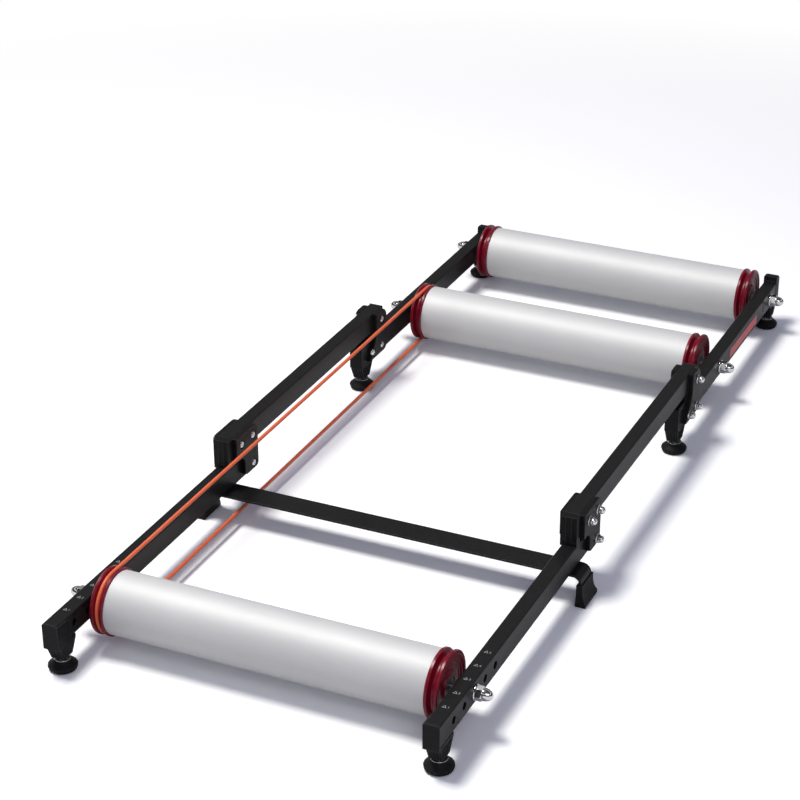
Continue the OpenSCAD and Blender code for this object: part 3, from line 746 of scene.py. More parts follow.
def front_leg(name, x):
    """A fluted leg with a lip ahead of it, a flat cap over the end of the rail and a cheek beside it."""
    piece = fluted_leg(name, x, front_foot_y)
    lip = box_between("lip", (x - rail_half, front_y, low_rail_z - collar_h),
                      (x + rail_half, front_foot_y - leg_l / 2 + fused_in, low_rail_z))
    edit(lip)
    slice_at((x, front_y + cap_t, 0), (0, 1, 0))
    draw_faces(lambda place, way: way.z > ALONG and place.y < front_y + cap_t,
               (0, 0, low_rail_top - low_rail_z))
    bevel_edges(lambda place, way: abs(way.y) > ALONG and place.z > low_rail_top - MM, rail_edge, 3)
    close()
    inner_x = x - math.copysign(rail_half, x)
    cheek = box_between("cheek", (inner_x - cheek_t, front_y, low_rail_z - collar_h),
                        (inner_x + cheek_t, front_y + cheek_l, cheek_top))
    edit(cheek)
    bevel_edges(lambda place, way: near(place.y, front_y + cheek_l) and near(place.z, cheek_top),
                cheek_corner, 6)
    close()
    fuse(piece, lip, cheek)
    return soften(piece, 0.25 * MM)


for side, sign in side_signs.items():
    moulded(front_leg(f"leg_front_{side}", sign * rail_x), "front_frame", f"front_leg_{side}")
print("front legs at y", round(front_foot_y, 3))

# %% [markdown]
# ### Hinge legs
# The leg at each rear hinge closes the front end of the rear rail with a web, and holds up the middle
# rail on a ledge. Web, tongue and ledge could be three boxes, but extruding one from another leaves no
# seams between them, so only the fluted leg is fused on.

# %% Hinge legs: a web closes the rail's front end, and a ledge behind it carries the middle rail
hinge_front_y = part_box("hinge_leg_right")[0].y
hinge_foot_y = middle_of("foot_pad_hinge_right").y
ledge_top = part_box("hinge_leg_right")[1].z
web_t = 10 * MM
tongue_t = 4 * MM
ledge_y = rear_pin.y - 29 * MM
ledge_l = 9 * MM
web_chamfer = 3 * MM


def hinge_leg(name, x):
    """A fluted leg with the web, the tongue on top of the rail and the ledge that stands on it."""
    piece = fluted_leg(name, x, hinge_foot_y)
    web = box_between("web", (x - rail_half, hinge_front_y, low_rail_z - collar_h + fused_in),
                      (x + rail_half, hinge_front_y + web_t, low_rail_top + tongue_t))
    edit(web)
    slice_at((x, 0, low_rail_top), (0, 0, 1))
    reach = ledge_y + ledge_l - hinge_front_y - web_t
    draw_faces(lambda place, way: way.y > ALONG and place.z > low_rail_top, (0, reach, 0))
    slice_at((x, ledge_y, 0), (0, 1, 0))
    rise = ledge_top - low_rail_top - tongue_t
    draw_faces(lambda place, way: way.z > ALONG and place.y > ledge_y, (0, 0, rise))
    bevel_edges(lambda place, way: abs(way.x) > ALONG and near(place.y, hinge_front_y)
                and place.z > low_rail_top, web_chamfer, 1)
    close()
    fuse(piece, web)
    return soften(piece, 0.3 * MM)


for side, sign in side_signs.items():
    moulded(hinge_leg(f"leg_hinge_{side}", sign * rail_x), "rear_frame", f"hinge_leg_{side}")
print("hinge legs at y", round(hinge_foot_y, 3))

# %% [markdown]
# ### Rear legs
# Behind the rear end of the rail the moulding rises as a horn above the rail's top. The horn is a box
# whose front face has sunk panels between ribs. A single bevel could round all of its edges at once, but
# the real one is rounder at the back, so each edge is picked by its place.

# %% Rear legs: the cap behind the rail rises as a horn
rear_low, rear_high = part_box("rear_leg_right")
rear_foot_y = middle_of("foot_pad_rear_right").y
horn_half = (rear_high.x - rear_low.x) / 2
horn_t = 15 * MM
horn_front_y = rear_high.y - horn_t
horn_columns = 5
horn_panel_z = low_rail_top + 1.5 * MM
horn_back_r = 5 * MM
horn_side_r = 2 * MM
horn_rib = 0.6 * MM
horn_sunk = 0.5 * MM
horn_upright = 0.3


def rear_leg(name, x):
    """A fluted leg and the upright horn with its ribbed front face and its rounded top."""
    piece = fluted_leg(name, x, rear_foot_y)
    horn = box_between("horn", (x - horn_half, horn_front_y, low_rail_z - fused_in),
                       (x + horn_half, rear_high.y, rear_high.z))
    edit(horn)
    slice_at((x, 0, horn_panel_z), (0, 0, 1))
    for i in range(1, horn_columns):
        slice_at((x - horn_half + i * 2 * horn_half / horn_columns, 0, 0), (1, 0, 0))
    pick("FACE", lambda place, way: way.y < -ALONG and place.z > horn_panel_z)
    bpy.ops.mesh.inset(thickness=horn_rib, depth=-horn_sunk, use_individual=True)
    bevel_edges(lambda place, way: abs(way.x) > ALONG and near(place.y, rear_high.y)
                and near(place.z, rear_high.z), horn_back_r, 3)
    bevel_edges(lambda place, way: abs(way.y) > horn_upright and near(abs(place.x - x), horn_half)
                and place.z > rear_high.z - horn_back_r - MM, horn_side_r, 2)
    close()
    fuse(piece, horn)
    return soften(piece, 0.5 * MM, 3)


for side, sign in side_signs.items():
    moulded(rear_leg(f"leg_rear_{side}", sign * rail_x), "rear_frame", f"rear_leg_{side}")
print("horns up to", round(rear_high.z / MM, 1), "mm")

# %% [markdown]
# ## End blocks of the middle rails
# The block on the front end of a middle rail stands on the front rail when the frame is open. Its front
# face has upright panels between ribs. The panels could be separate boxes laid on it, but slicing the
# face and insetting each part gives their sloped rims in one step.

# %% End blocks
block_low, block_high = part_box("middle_end_block_right")
block_t = 12 * MM
block_half = (block_high.x - block_low.x) / 2
panel_share = 0.34
panel_top = high_rail_z - 6 * MM
panel_rib = 1.0 * MM
panel_sunk = 0.7 * MM
block_tongue_l = bolt_pitch - 8 * MM


def end_block(name, x):
    """The block with its front panels and the tongue under the rail."""
    piece = box_between(name, (x - block_half, block_low.y, block_low.z),
                        (x + block_half, block_low.y + block_t, block_high.z))
    edit(piece)
    for share in (-panel_share, panel_share):
        slice_at((x + share * block_half, 0, 0), (1, 0, 0))
    slice_at((x, 0, panel_top), (0, 0, 1))
    pick("FACE", lambda place, way: way.y < -ALONG)
    bpy.ops.mesh.inset(thickness=panel_rib, depth=-panel_sunk, use_individual=True)
    close()
    back_y = block_low.y + block_t
    tongue = box_between("tongue", (x - rail_half + MM, back_y - MM, high_rail_z - tongue_t),
                         (x + rail_half - MM, back_y + block_tongue_l, high_rail_z))
    fuse(piece, tongue)
    return soften(piece, 0.45 * MM, 3)


for side, sign in side_signs.items():
    moulded(end_block(f"end_block_{side}", sign * rail_x), "middle_frame", f"middle_end_block_{side}")
print("end blocks from", round(block_low.z / MM, 1), "to", round(block_high.z / MM, 1), "mm")

# %% [markdown]
# ## Plugs of the middle rails
# The rear end of each middle rail is closed by a moulded plug. Its stem could be modelled too, but only
# the outer 4 mm show, so it is a flat box with a wide chamfer above and below.

# %% Plugs
plug_t = 4 * MM
plug_chamfer = 3.2 * MM
plug_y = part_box("middle_rear_plugs")[1].y - plug_t


def rear_plug(name, x):
    """A flat plug with a wide chamfer above and below."""
    piece = box_between(name, (x - rail_half, plug_y, high_rail_z),
                        (x + rail_half, plug_y + plug_t, high_rail_z + rail_h))
    edit(piece)
    bevel_edges(lambda place, way: abs(way.x) > ALONG and place.y > plug_y + MM, plug_chamfer, 2)
    close()
    return soften(piece, 0.5 * MM, 3)


plugs = join("rear_plugs", [rear_plug("plug", sign * rail_x) for sign in side_signs.values()])
moulded(plugs, "middle_frame", "middle_rear_plugs")
print("plugs at y", round(plug_y, 3))

# %% [markdown]
# ## Hinge plates
# Two moulded plates hold each hinge corner between them. Their outline could be drawn as a curve and
# given a thickness, but a box that is extruded and bevelled corner by corner keeps every face flat and
# every corner a plain number. All plates share the last steps: a bevel round the rim of the outer face,
# the bolt holes, and a recess for each bolt head on the inner plates.

# %% Drill and bevel a plate
rim_bevel = 1.4 * MM
head_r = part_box("front_hinge_bolts")[1].y - front_pin.y
head_recess_r = head_r + 0.6 * MM
plate_low, plate_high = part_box("front_hinge_plate_right_outer")
plate_t = plate_high.x - plate_low.x
head_sink = plate_t - 4 * MM
corner_slack = 0.3 * MM


def merge_flat():
    """Takes out the edges inside flat faces, so that a bevel meets plain corners."""
    bpy.ops.mesh.select_all(action="SELECT")
    bpy.ops.mesh.dissolve_limited(angle_limit=math.radians(1))


def plate_finish(piece, outward, holes, recess):
    """Bevels the rim of the outer face, drills the holes and sinks a recess for each bolt head."""
    edit(piece)
    merge_flat()
    pick("FACE", lambda place, way: way.x * outward > ALONG)
    bpy.ops.mesh.region_to_loop()
    bpy.ops.mesh.bevel(offset=rim_bevel, segments=2, affect="EDGES")
    close()
    xs = [vertex.co.x for vertex in piece.data.vertices]
    drill(piece, (min(xs) + max(xs)) / 2, [(y, z, bolt_bore) for y, z in holes], 30 * MM)
    if recess:
        face_x = max(xs) if outward > 0 else min(xs)
        drill(piece, face_x, [(y, z, head_recess_r) for y, z in holes], 2 * recess, 48)
    return soften(piece, 0.25 * MM)


def edge_at(y, z):
    """A test for the edge that runs along X at this place."""
    return lambda place, way: (abs(way.x) > ALONG and near(place.y, y, corner_slack)
                               and near(place.z, z, corner_slack))


def hinge_plates(make, section, body):
    """Four plates of one kind, an inner and an outer one on each side, with heads in the inner ones."""
    for side, sign in side_signs.items():
        for face, outward, recess in (("inner", -sign, head_sink), ("outer", sign, 0)):
            node = f"{section}_hinge_plate_{side}_{face}"
            moulded(make(f"{section}_plate_{side}_{face}", node, outward, recess), body, node)


print("rim bevel", rim_bevel / MM, "mm")

# %% [markdown]
# ### Front hinge plates
# A front plate starts as the arm that is bolted to the middle rail. Part of its lower face is extruded
# down to the pivot bolt, and the inner corner between the two is bevelled to a wide hollow curve.

# %% Front hinge plates
nose_y = front_pin.y - 25 * MM
arm_low = high_rail_z - 5 * MM
hollow_r = 12 * MM
front_places = [(front_pin.y, front_pin.z), (front_pin.y, rear_pin.z),
                (front_pin.y - bolt_pitch, rear_pin.z)]


def front_plate(name, node, outward, recess):
    """The plate with its arm on top and the tongue that reaches down to the pivot bolt."""
    low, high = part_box(node)
    piece = box_between(name, (low.x, low.y, arm_low), high)
    edit(piece)
    slice_at((0, nose_y, 0), (0, 1, 0))
    draw_faces(lambda place, way: way.z < -ALONG and place.y > nose_y, (0, 0, low.z - arm_low))
    merge_flat()
    bevel_edges(edge_at(nose_y, arm_low), hollow_r, 9)
    for y, z, size, steps in ((nose_y, low.z, 6 * MM, 2), (high.y, low.z, 5.5 * MM, 2),
                              (high.y, high.z, 10 * MM, 3), (low.y, high.z, 2 * MM, 2),
                              (low.y, arm_low, 1.2 * MM, 1)):
        bevel_edges(edge_at(y, z), size, steps)
    close()
    return plate_finish(piece, outward, front_places, recess)


hinge_plates(front_plate, "front", "middle_frame")
print("front plates", round(plate_t / MM, 1), "mm thick")

# %% [markdown]
# ### Rear hinge plates
# A rear plate is the other way up: its round head holds the pivot bolt high above, and its lower part is
# extruded down and drawn forward to two bolts in the rear rail. It could be a front plate turned over,
# but its foot is slanted and its throat is tighter, so it is shaped from a box of its own.

# %% Rear hinge plates
rear_plate_nose = 19 * MM
rear_plate_r = 15 * MM
throat_z = rear_pin.z - 19 * MM
rear_places = [(rear_pin.y, rear_pin.z), (rear_pin.y, axle_z), (rear_pin.y - bolt_pitch, axle_z)]


def rear_plate(name, node, outward, recess):
    """The plate with its round head at the pivot bolt and the foot that is bolted to the lower rail."""
    low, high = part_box(node)
    head_y = rear_pin.y - rear_plate_nose
    piece = box_between(name, (low.x, head_y, throat_z), high)
    edit(piece)
    draw_faces(lambda place, way: way.z < -ALONG, (0, 0, low.z - throat_z))
    pick("EDGE", edge_at(head_y, low.z))
    bpy.ops.transform.translate(value=(0, low.y - head_y, 0))
    for y, z, size, steps in ((head_y, throat_z, 9 * MM, 5), (high.y, high.z, rear_plate_r - 0.5 * MM, 9),
                              (head_y, high.z, 3.5 * MM, 2), (high.y, low.z, 9 * MM, 3),
                              (low.y, low.z, 2 * MM, 2)):
        bevel_edges(edge_at(y, z), size, steps)
    close()
    return plate_finish(piece, outward, rear_places, recess)


hinge_plates(rear_plate, "rear", "rear_frame")
print("rear plates with a throat at", round(throat_z / MM, 1), "mm")

# %% [markdown]
# ## Nuts and bolts
# Nuts, bolt heads, caps and feet are all turned shapes. They could be spun from a drawn profile, but a
# rod that is cut into rings, each drawn to its own radius, is closed from the start and has no seam. One
# nut of each size is modelled, and every other nut is a copy with its own mesh.


# %% A round bar with rings
dome_steps = 7
dome_end = math.radians(84)


def turned(name, axis, start, stations, sides):
    """A closed round bar that begins at start and runs along an axis. Each station is a distance and
    the radius there: the bar is cut into rings, and each ring is drawn to its radius."""
    index = "XYZ".index(axis)
    ends = (stations[0][0], stations[-1][0])
    widest = max(radius for distance, radius in stations)
    middle = Vector(start)
    middle[index] += sum(ends) / 2
    piece = rod_along(name, axis, middle, widest, abs(ends[1] - ends[0]), sides)
    axis_way = Vector((0, 0, 0))
    axis_way[index] = 1
    edit(piece)
    for distance, radius in stations[1:-1]:
        slice_at(Vector(start) + distance * axis_way, axis_way)
    for distance, radius in stations:
        level = start[index] + distance
        pick("VERT", lambda place, way: near(place[index], level))
        scale = [radius / widest] * 3
        scale[index] = 1
        bpy.ops.transform.resize(value=scale)
    close()
    return piece


def dome_stations(first, radius, height):
    """Distances and radii of a dome of this height, which ends in a small flat."""
    angles = [dome_end * i / dome_steps for i in range(dome_steps + 1)]
    return [(first + height * math.sin(a), radius * math.cos(a)) for a in angles]


def corner_radius(across):
    """From the middle of a hexagon to its corners, for its width across the flats."""
    return across / math.sqrt(3)


print("helpers: turned, dome_stations, corner_radius")

# %% [markdown]
# ### Cap nuts
# A cap nut covers the end of its bolt with a polished dome. The hexagon is a six-sided cylinder. Its
# corners could be bevelled, but real corners are turned off on a lathe and leave curved edges, so what is
# kept of it is what also lies inside a round bar with a sloped end.

# %% A cap nut that points along +X
nut_sides = 48


def cap_nut(name, x, across, height, washer_d, washer_t):
    """Washer, hexagon and dome of one cap nut, which stands on the plane x."""
    hex_h = height * 0.38
    dome_r = across * 0.48
    dome_at = hex_h + 1.4 * MM
    corner = corner_radius(across)
    washer = turned(name, "X", (x, 0, 0), [
        (0, washer_d / 2), (washer_t * 0.7, washer_d / 2), (washer_t, washer_d / 2 - 0.3 * washer_t)],
        nut_sides)
    hexagon = rod_along("hexagon", "X", (x + washer_t + hex_h / 2, 0, 0), corner, hex_h, 6)
    round_bar = turned("round_bar", "X", (x + washer_t, 0, 0), [
        (-MM, corner * 0.9), (0, corner * 0.93), (0.9 * MM, corner * 1.01),
        (hex_h - 1.1 * MM, corner * 1.01), (hex_h, corner * 0.9), (hex_h + MM, corner * 0.8)], nut_sides)
    combine(hexagon, round_bar, "INTERSECT")
    neck = [(hex_h - 0.5 * MM, dome_r * 0.94), (hex_h + 0.6 * MM, dome_r * 0.94),
            (hex_h + 0.8 * MM, dome_r)]
    dome = turned("dome", "X", (x + washer_t, 0, 0),
                  neck + dome_stations(dome_at, dome_r, height - dome_at), nut_sides)
    fuse(washer, hexagon, dome)
    return soften(washer, 0.12 * MM)


hinge_across = 10 * MM
hinge_washer_t = 1.2 * MM
hinge_nut_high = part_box("front_hinge_nuts")[1]
hinge_seat_x = plate_high.x
hinge_washer_r = hinge_nut_high.y - front_pin.y
hinge_nut = cap_nut("hinge_nut", hinge_seat_x, hinge_across,
                    hinge_nut_high.x - hinge_seat_x - hinge_washer_t, 2 * hinge_washer_r, hinge_washer_t)
axle_across = 16 * MM
axle_washer_d = 20 * MM
axle_washer_t = 2.5 * MM
axle_seat_x = rail_x + rail_half
axle_nut_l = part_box("front_axle_nuts")[1].x - axle_seat_x
axle_nut = cap_nut("axle_nut", axle_seat_x, axle_across, axle_nut_l - axle_washer_t, axle_washer_d,
                   axle_washer_t)
print("hinge nut", hinge_across / MM, "mm and axle nut", axle_across / MM, "mm across the flats")

# %% [markdown]
# ### Axle nuts
# Each axle is held by a cap nut outside each rail and a flat nut inside it. The flat one could be made
# like the cap nut, but it hardly shows, so a six-sided cylinder with softened edges is enough for it.

# %% The flat nut inside each rail, and the nuts of each axle
jam_t = 5 * MM
jam = rod_along("jam_nut", "X", (rail_x - rail_half - jam_t / 2, 0, 0), corner_radius(axle_across),
                jam_t, 6)
soften(jam, 0.4 * MM)


def fastened(name, body, node, patterns, places):
    """A copy of each pattern at each place and on both sides, as one chromed piece."""
    parts = [copy_of(pattern, "copy", (0, y, z), mirrored)
             for y, z in places for pattern in patterns for mirrored in (False, True)]
    dress(join(name, parts), chrome, body, node)


fastened("nuts_front_axle", "front_frame", "front_axle_nuts", [axle_nut, jam], [(front_axle_y, axle_z)])
fastened("nuts_rear_axles", "rear_frame", "rear_frame_axle_nuts", [axle_nut, jam],
         [(middle_axle_y, axle_z), (rear_axle_y, axle_z)])
print("flat nuts", jam_t / MM, "mm thick")

# %% [markdown]
# ### Hinge bolts
# The bolts of the hinges have low round heads with a six-sided socket. They point outwards, so the heads
# are seen on the inner plates. A bolt could be turned in one piece, but the head needs more sides than
# the shank. So the head is turned, the socket is cut out of it, and the shank is fused on.

# %% A round-headed bolt, whose head points to the middle of the frame
head_h = 3.4 * MM
bolt_r = 3 * MM
socket_across = 4 * MM
socket_depth = 2 * MM
head_seat_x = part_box("front_hinge_plate_right_inner")[0].x + head_sink
shank_l = hinge_seat_x - head_seat_x


def hinge_bolt(name):
    """The domed head with its six-sided socket, and the shank through both plates."""
    piece = turned(name, "X", (head_seat_x, 0, 0), [
        (0, head_r), (-0.9 * MM, head_r), (-1.8 * MM, head_r * 0.94), (-2.6 * MM, head_r * 0.8),
        (-3.1 * MM, head_r * 0.66), (-head_h, head_r * 0.54)], nut_sides)
    socket = rod_along("socket", "X", (head_seat_x - head_h, 0, 0), corner_radius(socket_across),
                       2 * socket_depth, 6)
    cut(piece, socket)
    shank = rod_along("shank", "X", (head_seat_x + shank_l / 2 - MM, 0, 0), bolt_r, shank_l + 2 * MM, 32)
    fuse(piece, shank)
    return soften(piece, 0.1 * MM)


bolt = hinge_bolt("bolt")
fastened("bolts_front_hinges", "middle_frame", "front_hinge_bolts", [bolt], front_places)
fastened("bolts_rear_hinges", "rear_frame", "rear_hinge_bolts", [bolt], rear_places)
fastened("nuts_front_hinges", "middle_frame", "front_hinge_nuts", [hinge_nut], front_places)
fastened("nuts_rear_hinges", "rear_frame", "rear_hinge_nuts", [hinge_nut], rear_places)
for pattern in (bolt, hinge_nut, axle_nut, jam):
    bpy.data.objects.remove(pattern)
print("hinge bolts:", 2 * len(front_places + rear_places))

# %% [markdown]
# ## The crossbar
# The crossbar is one flat steel strip under the front rails. It could be bent from a straight strip by
# a modifier, but a spin gives an exact radius. A box makes its straight middle, each end face is spun a
# quarter turn downwards, and the new end is extruded into the shoe.

# %% Crossbar
bar_low, bar_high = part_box("crossbar")
strip_t = 3 * MM
bend_r = 12 * MM
bend_steps = 10

bar_end_x = bar_high.x - bend_r
crossbar = box_between("crossbar_strip", (-bar_end_x, bar_low.y, bar_high.z - strip_t),
                       (bar_end_x, bar_high.y, bar_high.z))
edit(crossbar)
for sign in side_signs.values():
    pick("FACE", lambda place, way: abs(way.x) > ALONG and near(place.x, sign * bar_end_x))
    bpy.ops.mesh.spin(steps=bend_steps, angle=-sign * math.pi / 2, axis=(0, 1, 0),
                      center=(sign * bar_end_x, 0, bar_high.z - bend_r))
    draw_faces(lambda place, way: abs(way.z) > ALONG and near(place.z, bar_high.z - bend_r)
               and place.x * sign > bar_end_x + bend_r / 2, (0, 0, bar_low.z - bar_high.z + bend_r))
close()
face_out(crossbar)
soften(crossbar, 0.5 * MM, 3)
dress(crossbar, frame_black, "front_frame", "crossbar")
print("crossbar", round(2 * bar_high.x, 3), "m wide")

# %% [markdown]
# ## Shoes of the crossbar
# A moulded shoe is pushed over each end of the crossbar and stands on the floor. It flares out below in
# a hollow curve. A lattice could bend the block into it, but a few levels are easier to read: the block
# is sliced at each of them, and each level is drawn in by its share.

# %% Shoes
shoe_low, shoe_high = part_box("outrigger_shoe_right")
shoe_mid_y = (shoe_low.y + shoe_high.y) / 2
shoe_half = (shoe_high.y - shoe_low.y) / 2
shoe_top_half = 20 * MM
shoe_top_x = shoe_low.x + 8.5 * MM
shoe_slot_half = 18.3 * MM
shoe_play = 0.2 * MM


def shoe(name):
    """The right shoe: a block drawn in above its foot, with a hollow flare between."""
    piece = box_between(name, shoe_low, shoe_high)
    edit(piece)
    levels = [(shoe_low.z + 5 * MM, 0.0), (shoe_low.z + 8 * MM, 0.38), (shoe_low.z + 11.5 * MM, 0.68),
              (shoe_low.z + 15.5 * MM, 0.88), (shoe_low.z + 20 * MM, 1.0), (shoe_high.z, 1.0)]
    for level, share in levels[:-1]:
        slice_at((0, 0, level), (0, 0, 1))
    for level, share in levels[1:]:
        pick("VERT", lambda place, way: near(place.z, level))
        narrow = 1 - share * (1 - shoe_top_half / shoe_half)
        bpy.ops.transform.resize(value=(1, narrow, 1))
        pick("VERT", lambda place, way: near(place.z, level) and place.x > shoe_top_x)
        bpy.ops.transform.translate(value=(share * (shoe_top_x - shoe_high.x), 0, 0))
    close()
    slot_low = (bar_high.x - strip_t - shoe_play, shoe_mid_y - shoe_slot_half, bar_low.z - MM)
    slot_high = (bar_high.x + shoe_play, shoe_mid_y + shoe_slot_half, shoe_high.z + MM)
    cut(piece, box_between("slot", slot_low, slot_high))
    return soften(piece, 0.7 * MM, 3)


right_shoe = shoe("shoe_right")
left_shoe = copy_of(right_shoe, "shoe_left", mirrored=True)
for side, piece in (("left", left_shoe), ("right", right_shoe)):
    moulded(piece, "front_frame", f"outrigger_shoe_{side}")
print("shoes", round(2 * shoe_half / MM, 1), "mm long at the floor")

# %% [markdown]
# ## Rollers
# Each roller is an aluminium tube with a glossy red cap pressed into each end. The tube could be an open
# cylinder with a Solidify modifier, but two steps do it as well and keep the mesh closed: the end faces
# are inset by the wall and bridged.

# %% Tubes
tube_wall = 2.5 * MM
tube_sides = 160
tube_low, tube_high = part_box("front_roller_tube")
tube_r = (tube_high.z - tube_low.z) / 2


def roller_tube(name, node, body, axle_y):
    """A hollow tube between the two caps of a roller."""
    piece = rod_along(name, "X", (0, axle_y, axle_z), tube_r, tube_high.x - tube_low.x,
                      tube_sides)
    edit(piece)
    pick("FACE", lambda place, way: abs(way.x) > ALONG)
    bpy.ops.mesh.inset(thickness=tube_wall)
    bpy.ops.mesh.bridge_edge_loops()
    close()
    soften(piece, 0.4 * MM)
    dress(piece, roller_silver, body, node)


rollers = {"front": front_axle_y, "middle": middle_axle_y, "rear": rear_axle_y}
for place, axle_y in rollers.items():
    roller_tube(f"tube_{place}", f"{place}_roller_tube", f"{place}_roller", axle_y)
print("tubes", round(2 * tube_r / MM, 1), "mm across")

# %% [markdown]
# ### Caps
# A cap has two flanges with the belt groove between them. It is a round bar with the groove as drawn-in
# rings, and its outer face goes down to the bearing in steps, inset by inset. Caps on all rollers are
# alike, so one is modelled and copied to six places. The grooves could be cut with a torus, but rings
# keep the wall of the groove and its rim as clean loops.

# %% One cap at the right end of the front roller
cap_low, cap_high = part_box("front_roller_cap_right")
flange_r = (cap_high.z - cap_low.z) / 2
cap_w = cap_high.x - tube_high.x
flange_w = 4.5 * MM
groove_r = flange_r - 6.8 * MM
bearing_r = 13 * MM
spigot_l = 20 * MM
face_step = 1.2 * MM
rim = 0.7 * MM
axle_room = 8 * MM
cap_sides = 128


def roller_cap(name):
    """Two flanges with the belt groove between them, and a face that steps down to the bearing."""
    mid = cap_w / 2
    start = (tube_high.x, front_axle_y, axle_z)
    piece = turned(name, "X", start, [
        (0, flange_r - rim), (rim, flange_r), (flange_w - rim, flange_r), (flange_w, flange_r - rim),
        (mid - 2.6 * MM, groove_r + 1.6 * MM), (mid - 1.4 * MM, groove_r + 0.3 * MM), (mid, groove_r),
        (mid + 1.4 * MM, groove_r + 0.3 * MM), (mid + 2.6 * MM, groove_r + 1.6 * MM),
        (cap_w - flange_w, flange_r - rim), (cap_w - flange_w + rim, flange_r), (cap_w - MM, flange_r),
        (cap_w, flange_r - MM)], cap_sides)
    edit(piece)
    pick("FACE", lambda place, way: way.x > ALONG and near(place.x, tube_high.x + cap_w))
    ring = flange_r - MM
    for radius, drop in ((flange_r - 4.5 * MM, 0), (flange_r - 5.2 * MM, face_step),
                         (flange_r - 10 * MM, 0), (flange_r - 10.7 * MM, face_step),
                         (flange_r - 15.5 * MM, 0), (flange_r - 16 * MM, 0.6 * MM),
                         (bearing_r + 6.5 * MM, 0), (bearing_r + 5 * MM, -2.4 * MM),
                         (bearing_r + 0.2 * MM, 0), (bearing_r - 0.1 * MM, 8 * MM)):
        bpy.ops.mesh.inset(thickness=ring - radius, depth=-drop)
        ring = radius
    pick("FACE", lambda place, way: way.x < -ALONG and near(place.x, tube_high.x))
    spigot_r = tube_r - tube_wall - 0.1 * MM
    bpy.ops.mesh.inset(thickness=flange_r - rim - spigot_r)
    bpy.ops.mesh.extrude_region_move(TRANSFORM_OT_translate={"value": (-spigot_l, 0, 0)})
    close()
    cut(piece, rod_along("axle_room", "X", start, axle_room, 3 * spigot_l, 64))
    return soften(piece, 0.2 * MM)


cap = roller_cap("cap")
for place, axle_y in rollers.items():
    for side, mirrored in (("left", True), ("right", False)):
        piece = copy_of(cap, f"cap_{place}_{side}", (0, axle_y - front_axle_y, 0), mirrored)
        dress(piece, cap_red, f"{place}_roller", f"{place}_roller_cap_{side}")
bpy.data.objects.remove(cap)
print("caps", round(2 * flange_r / MM, 1), "mm across")

# %% [markdown]
# ## The belt
# The belt is one endless round cord of orange rubber. It could be one curve with a round section, but it
# crosses both hinge lines, and a piece can be blended between only two bodies. So it is modelled in four
# runs that meet above and below the middle rails and at the outermost point of each roller. A run begins
# as a disc, which is extruded in short steps along the rails and spun a quarter turn round the roller's
# groove.

# %% One run of the belt
belt_low, belt_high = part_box("drive_belt")
belt_x = (belt_low.x + belt_high.x) / 2
belt_r = (belt_high.x - belt_low.x) / 2
belt_wrap = (belt_high.z - belt_low.z) / 2 - belt_r
belt_z = (belt_high.z + belt_low.z) / 2
belt_split_y = (front_pin.y + rear_pin.y) / 2
belt_step = 2 * MM
belt_sides = 20
wrap_steps = 24


def belt_run(name, axle_y, side):
    """From the split to the roller at axle_y, over it where side is 1 and under it where side is -1."""
    run = axle_y - belt_split_y
    steps = round(abs(run) / belt_step)
    bpy.ops.object.select_all(action="DESELECT")
    bpy.ops.mesh.primitive_circle_add(vertices=belt_sides, radius=belt_r, fill_type="NGON",
                                      location=(belt_x, belt_split_y, belt_z + side * belt_wrap),
                                      rotation=(math.pi / 2, 0, 0))
    piece = settled(name)
    edit(piece)
    bpy.ops.mesh.select_all(action="SELECT")
    for i in range(steps):
        bpy.ops.mesh.extrude_region_move(TRANSFORM_OT_translate={"value": (0, run / steps, 0)})
    bpy.ops.mesh.spin(steps=wrap_steps, angle=math.copysign(math.pi / 2, side * run), axis=(1, 0, 0),
                      center=(belt_x, axle_y, belt_z))
    close()
    return soften(face_out(piece), 0)


print("belt radius in the groove", round(belt_wrap / MM, 1), "mm")

# %% [markdown]
# ### The four runs
# The four runs are made one by one, and each gets the belt's orange. The table also gives each run the
# pin of its own hinge, a width of bend and the two bodies on either side of that hinge, but nothing
# here reads them. The bend is tight above the rear pin, because the front roller folds down close beside
# it, and wider elsewhere, since one width for all four would let the folded belt pass through the
# rollers' caps.

# %% Four runs, each listed with its own pin and bend
front_bodies = ("front_frame", "middle_frame")
rear_bodies = ("middle_frame", "rear_frame")
for name, axle_y, side, pin_y, bend, bodies in (
        ("belt_front_top", front_axle_y, 1, front_pin.y, 75 * MM, front_bodies),
        ("belt_front_bottom", front_axle_y, -1, front_pin.y, 40 * MM, front_bodies),
        ("belt_rear_top", middle_axle_y, 1, rear_pin.y, 18 * MM, rear_bodies),
        ("belt_rear_bottom", middle_axle_y, -1, rear_pin.y, 60 * MM, rear_bodies)):
    piece = belt_run(name, axle_y, side)
    piece.data.materials.append(belt_orange)
    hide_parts("drive_belt")
    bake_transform(piece)
print("belt", round(2 * belt_r / MM, 1), "mm thick")

# %% [markdown]
# ## Feet
# Each foot is a rubber cup on a steel screw. The cup is a round bar drawn in ring by ring, with a thin
# steel ring in its top. Its underside is inset and pushed up, as a moulded foot is hollow below. The
# scallops that fingers turn it by could be a wavy outline, but a circle of rods that is cut away gives
# them crisp edges.

# %% Foot cups
pad_low, pad_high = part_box("foot_pad_front_right")
pad_r = (pad_high.x - pad_low.x) / 2
pad_h = pad_high.z - pad_low.z
ring_r = 10.2 * MM
scallops = 18
scallop_r = 2.5 * MM
scallop_at = pad_r + 1.5 * MM
scallop_z = pad_low.z + 3.6 * MM
scallop_h = 9 * MM
skirt_w = 4 * MM
hollow_h = 1.5 * MM
cup_sides = 72
ring_sides = 48


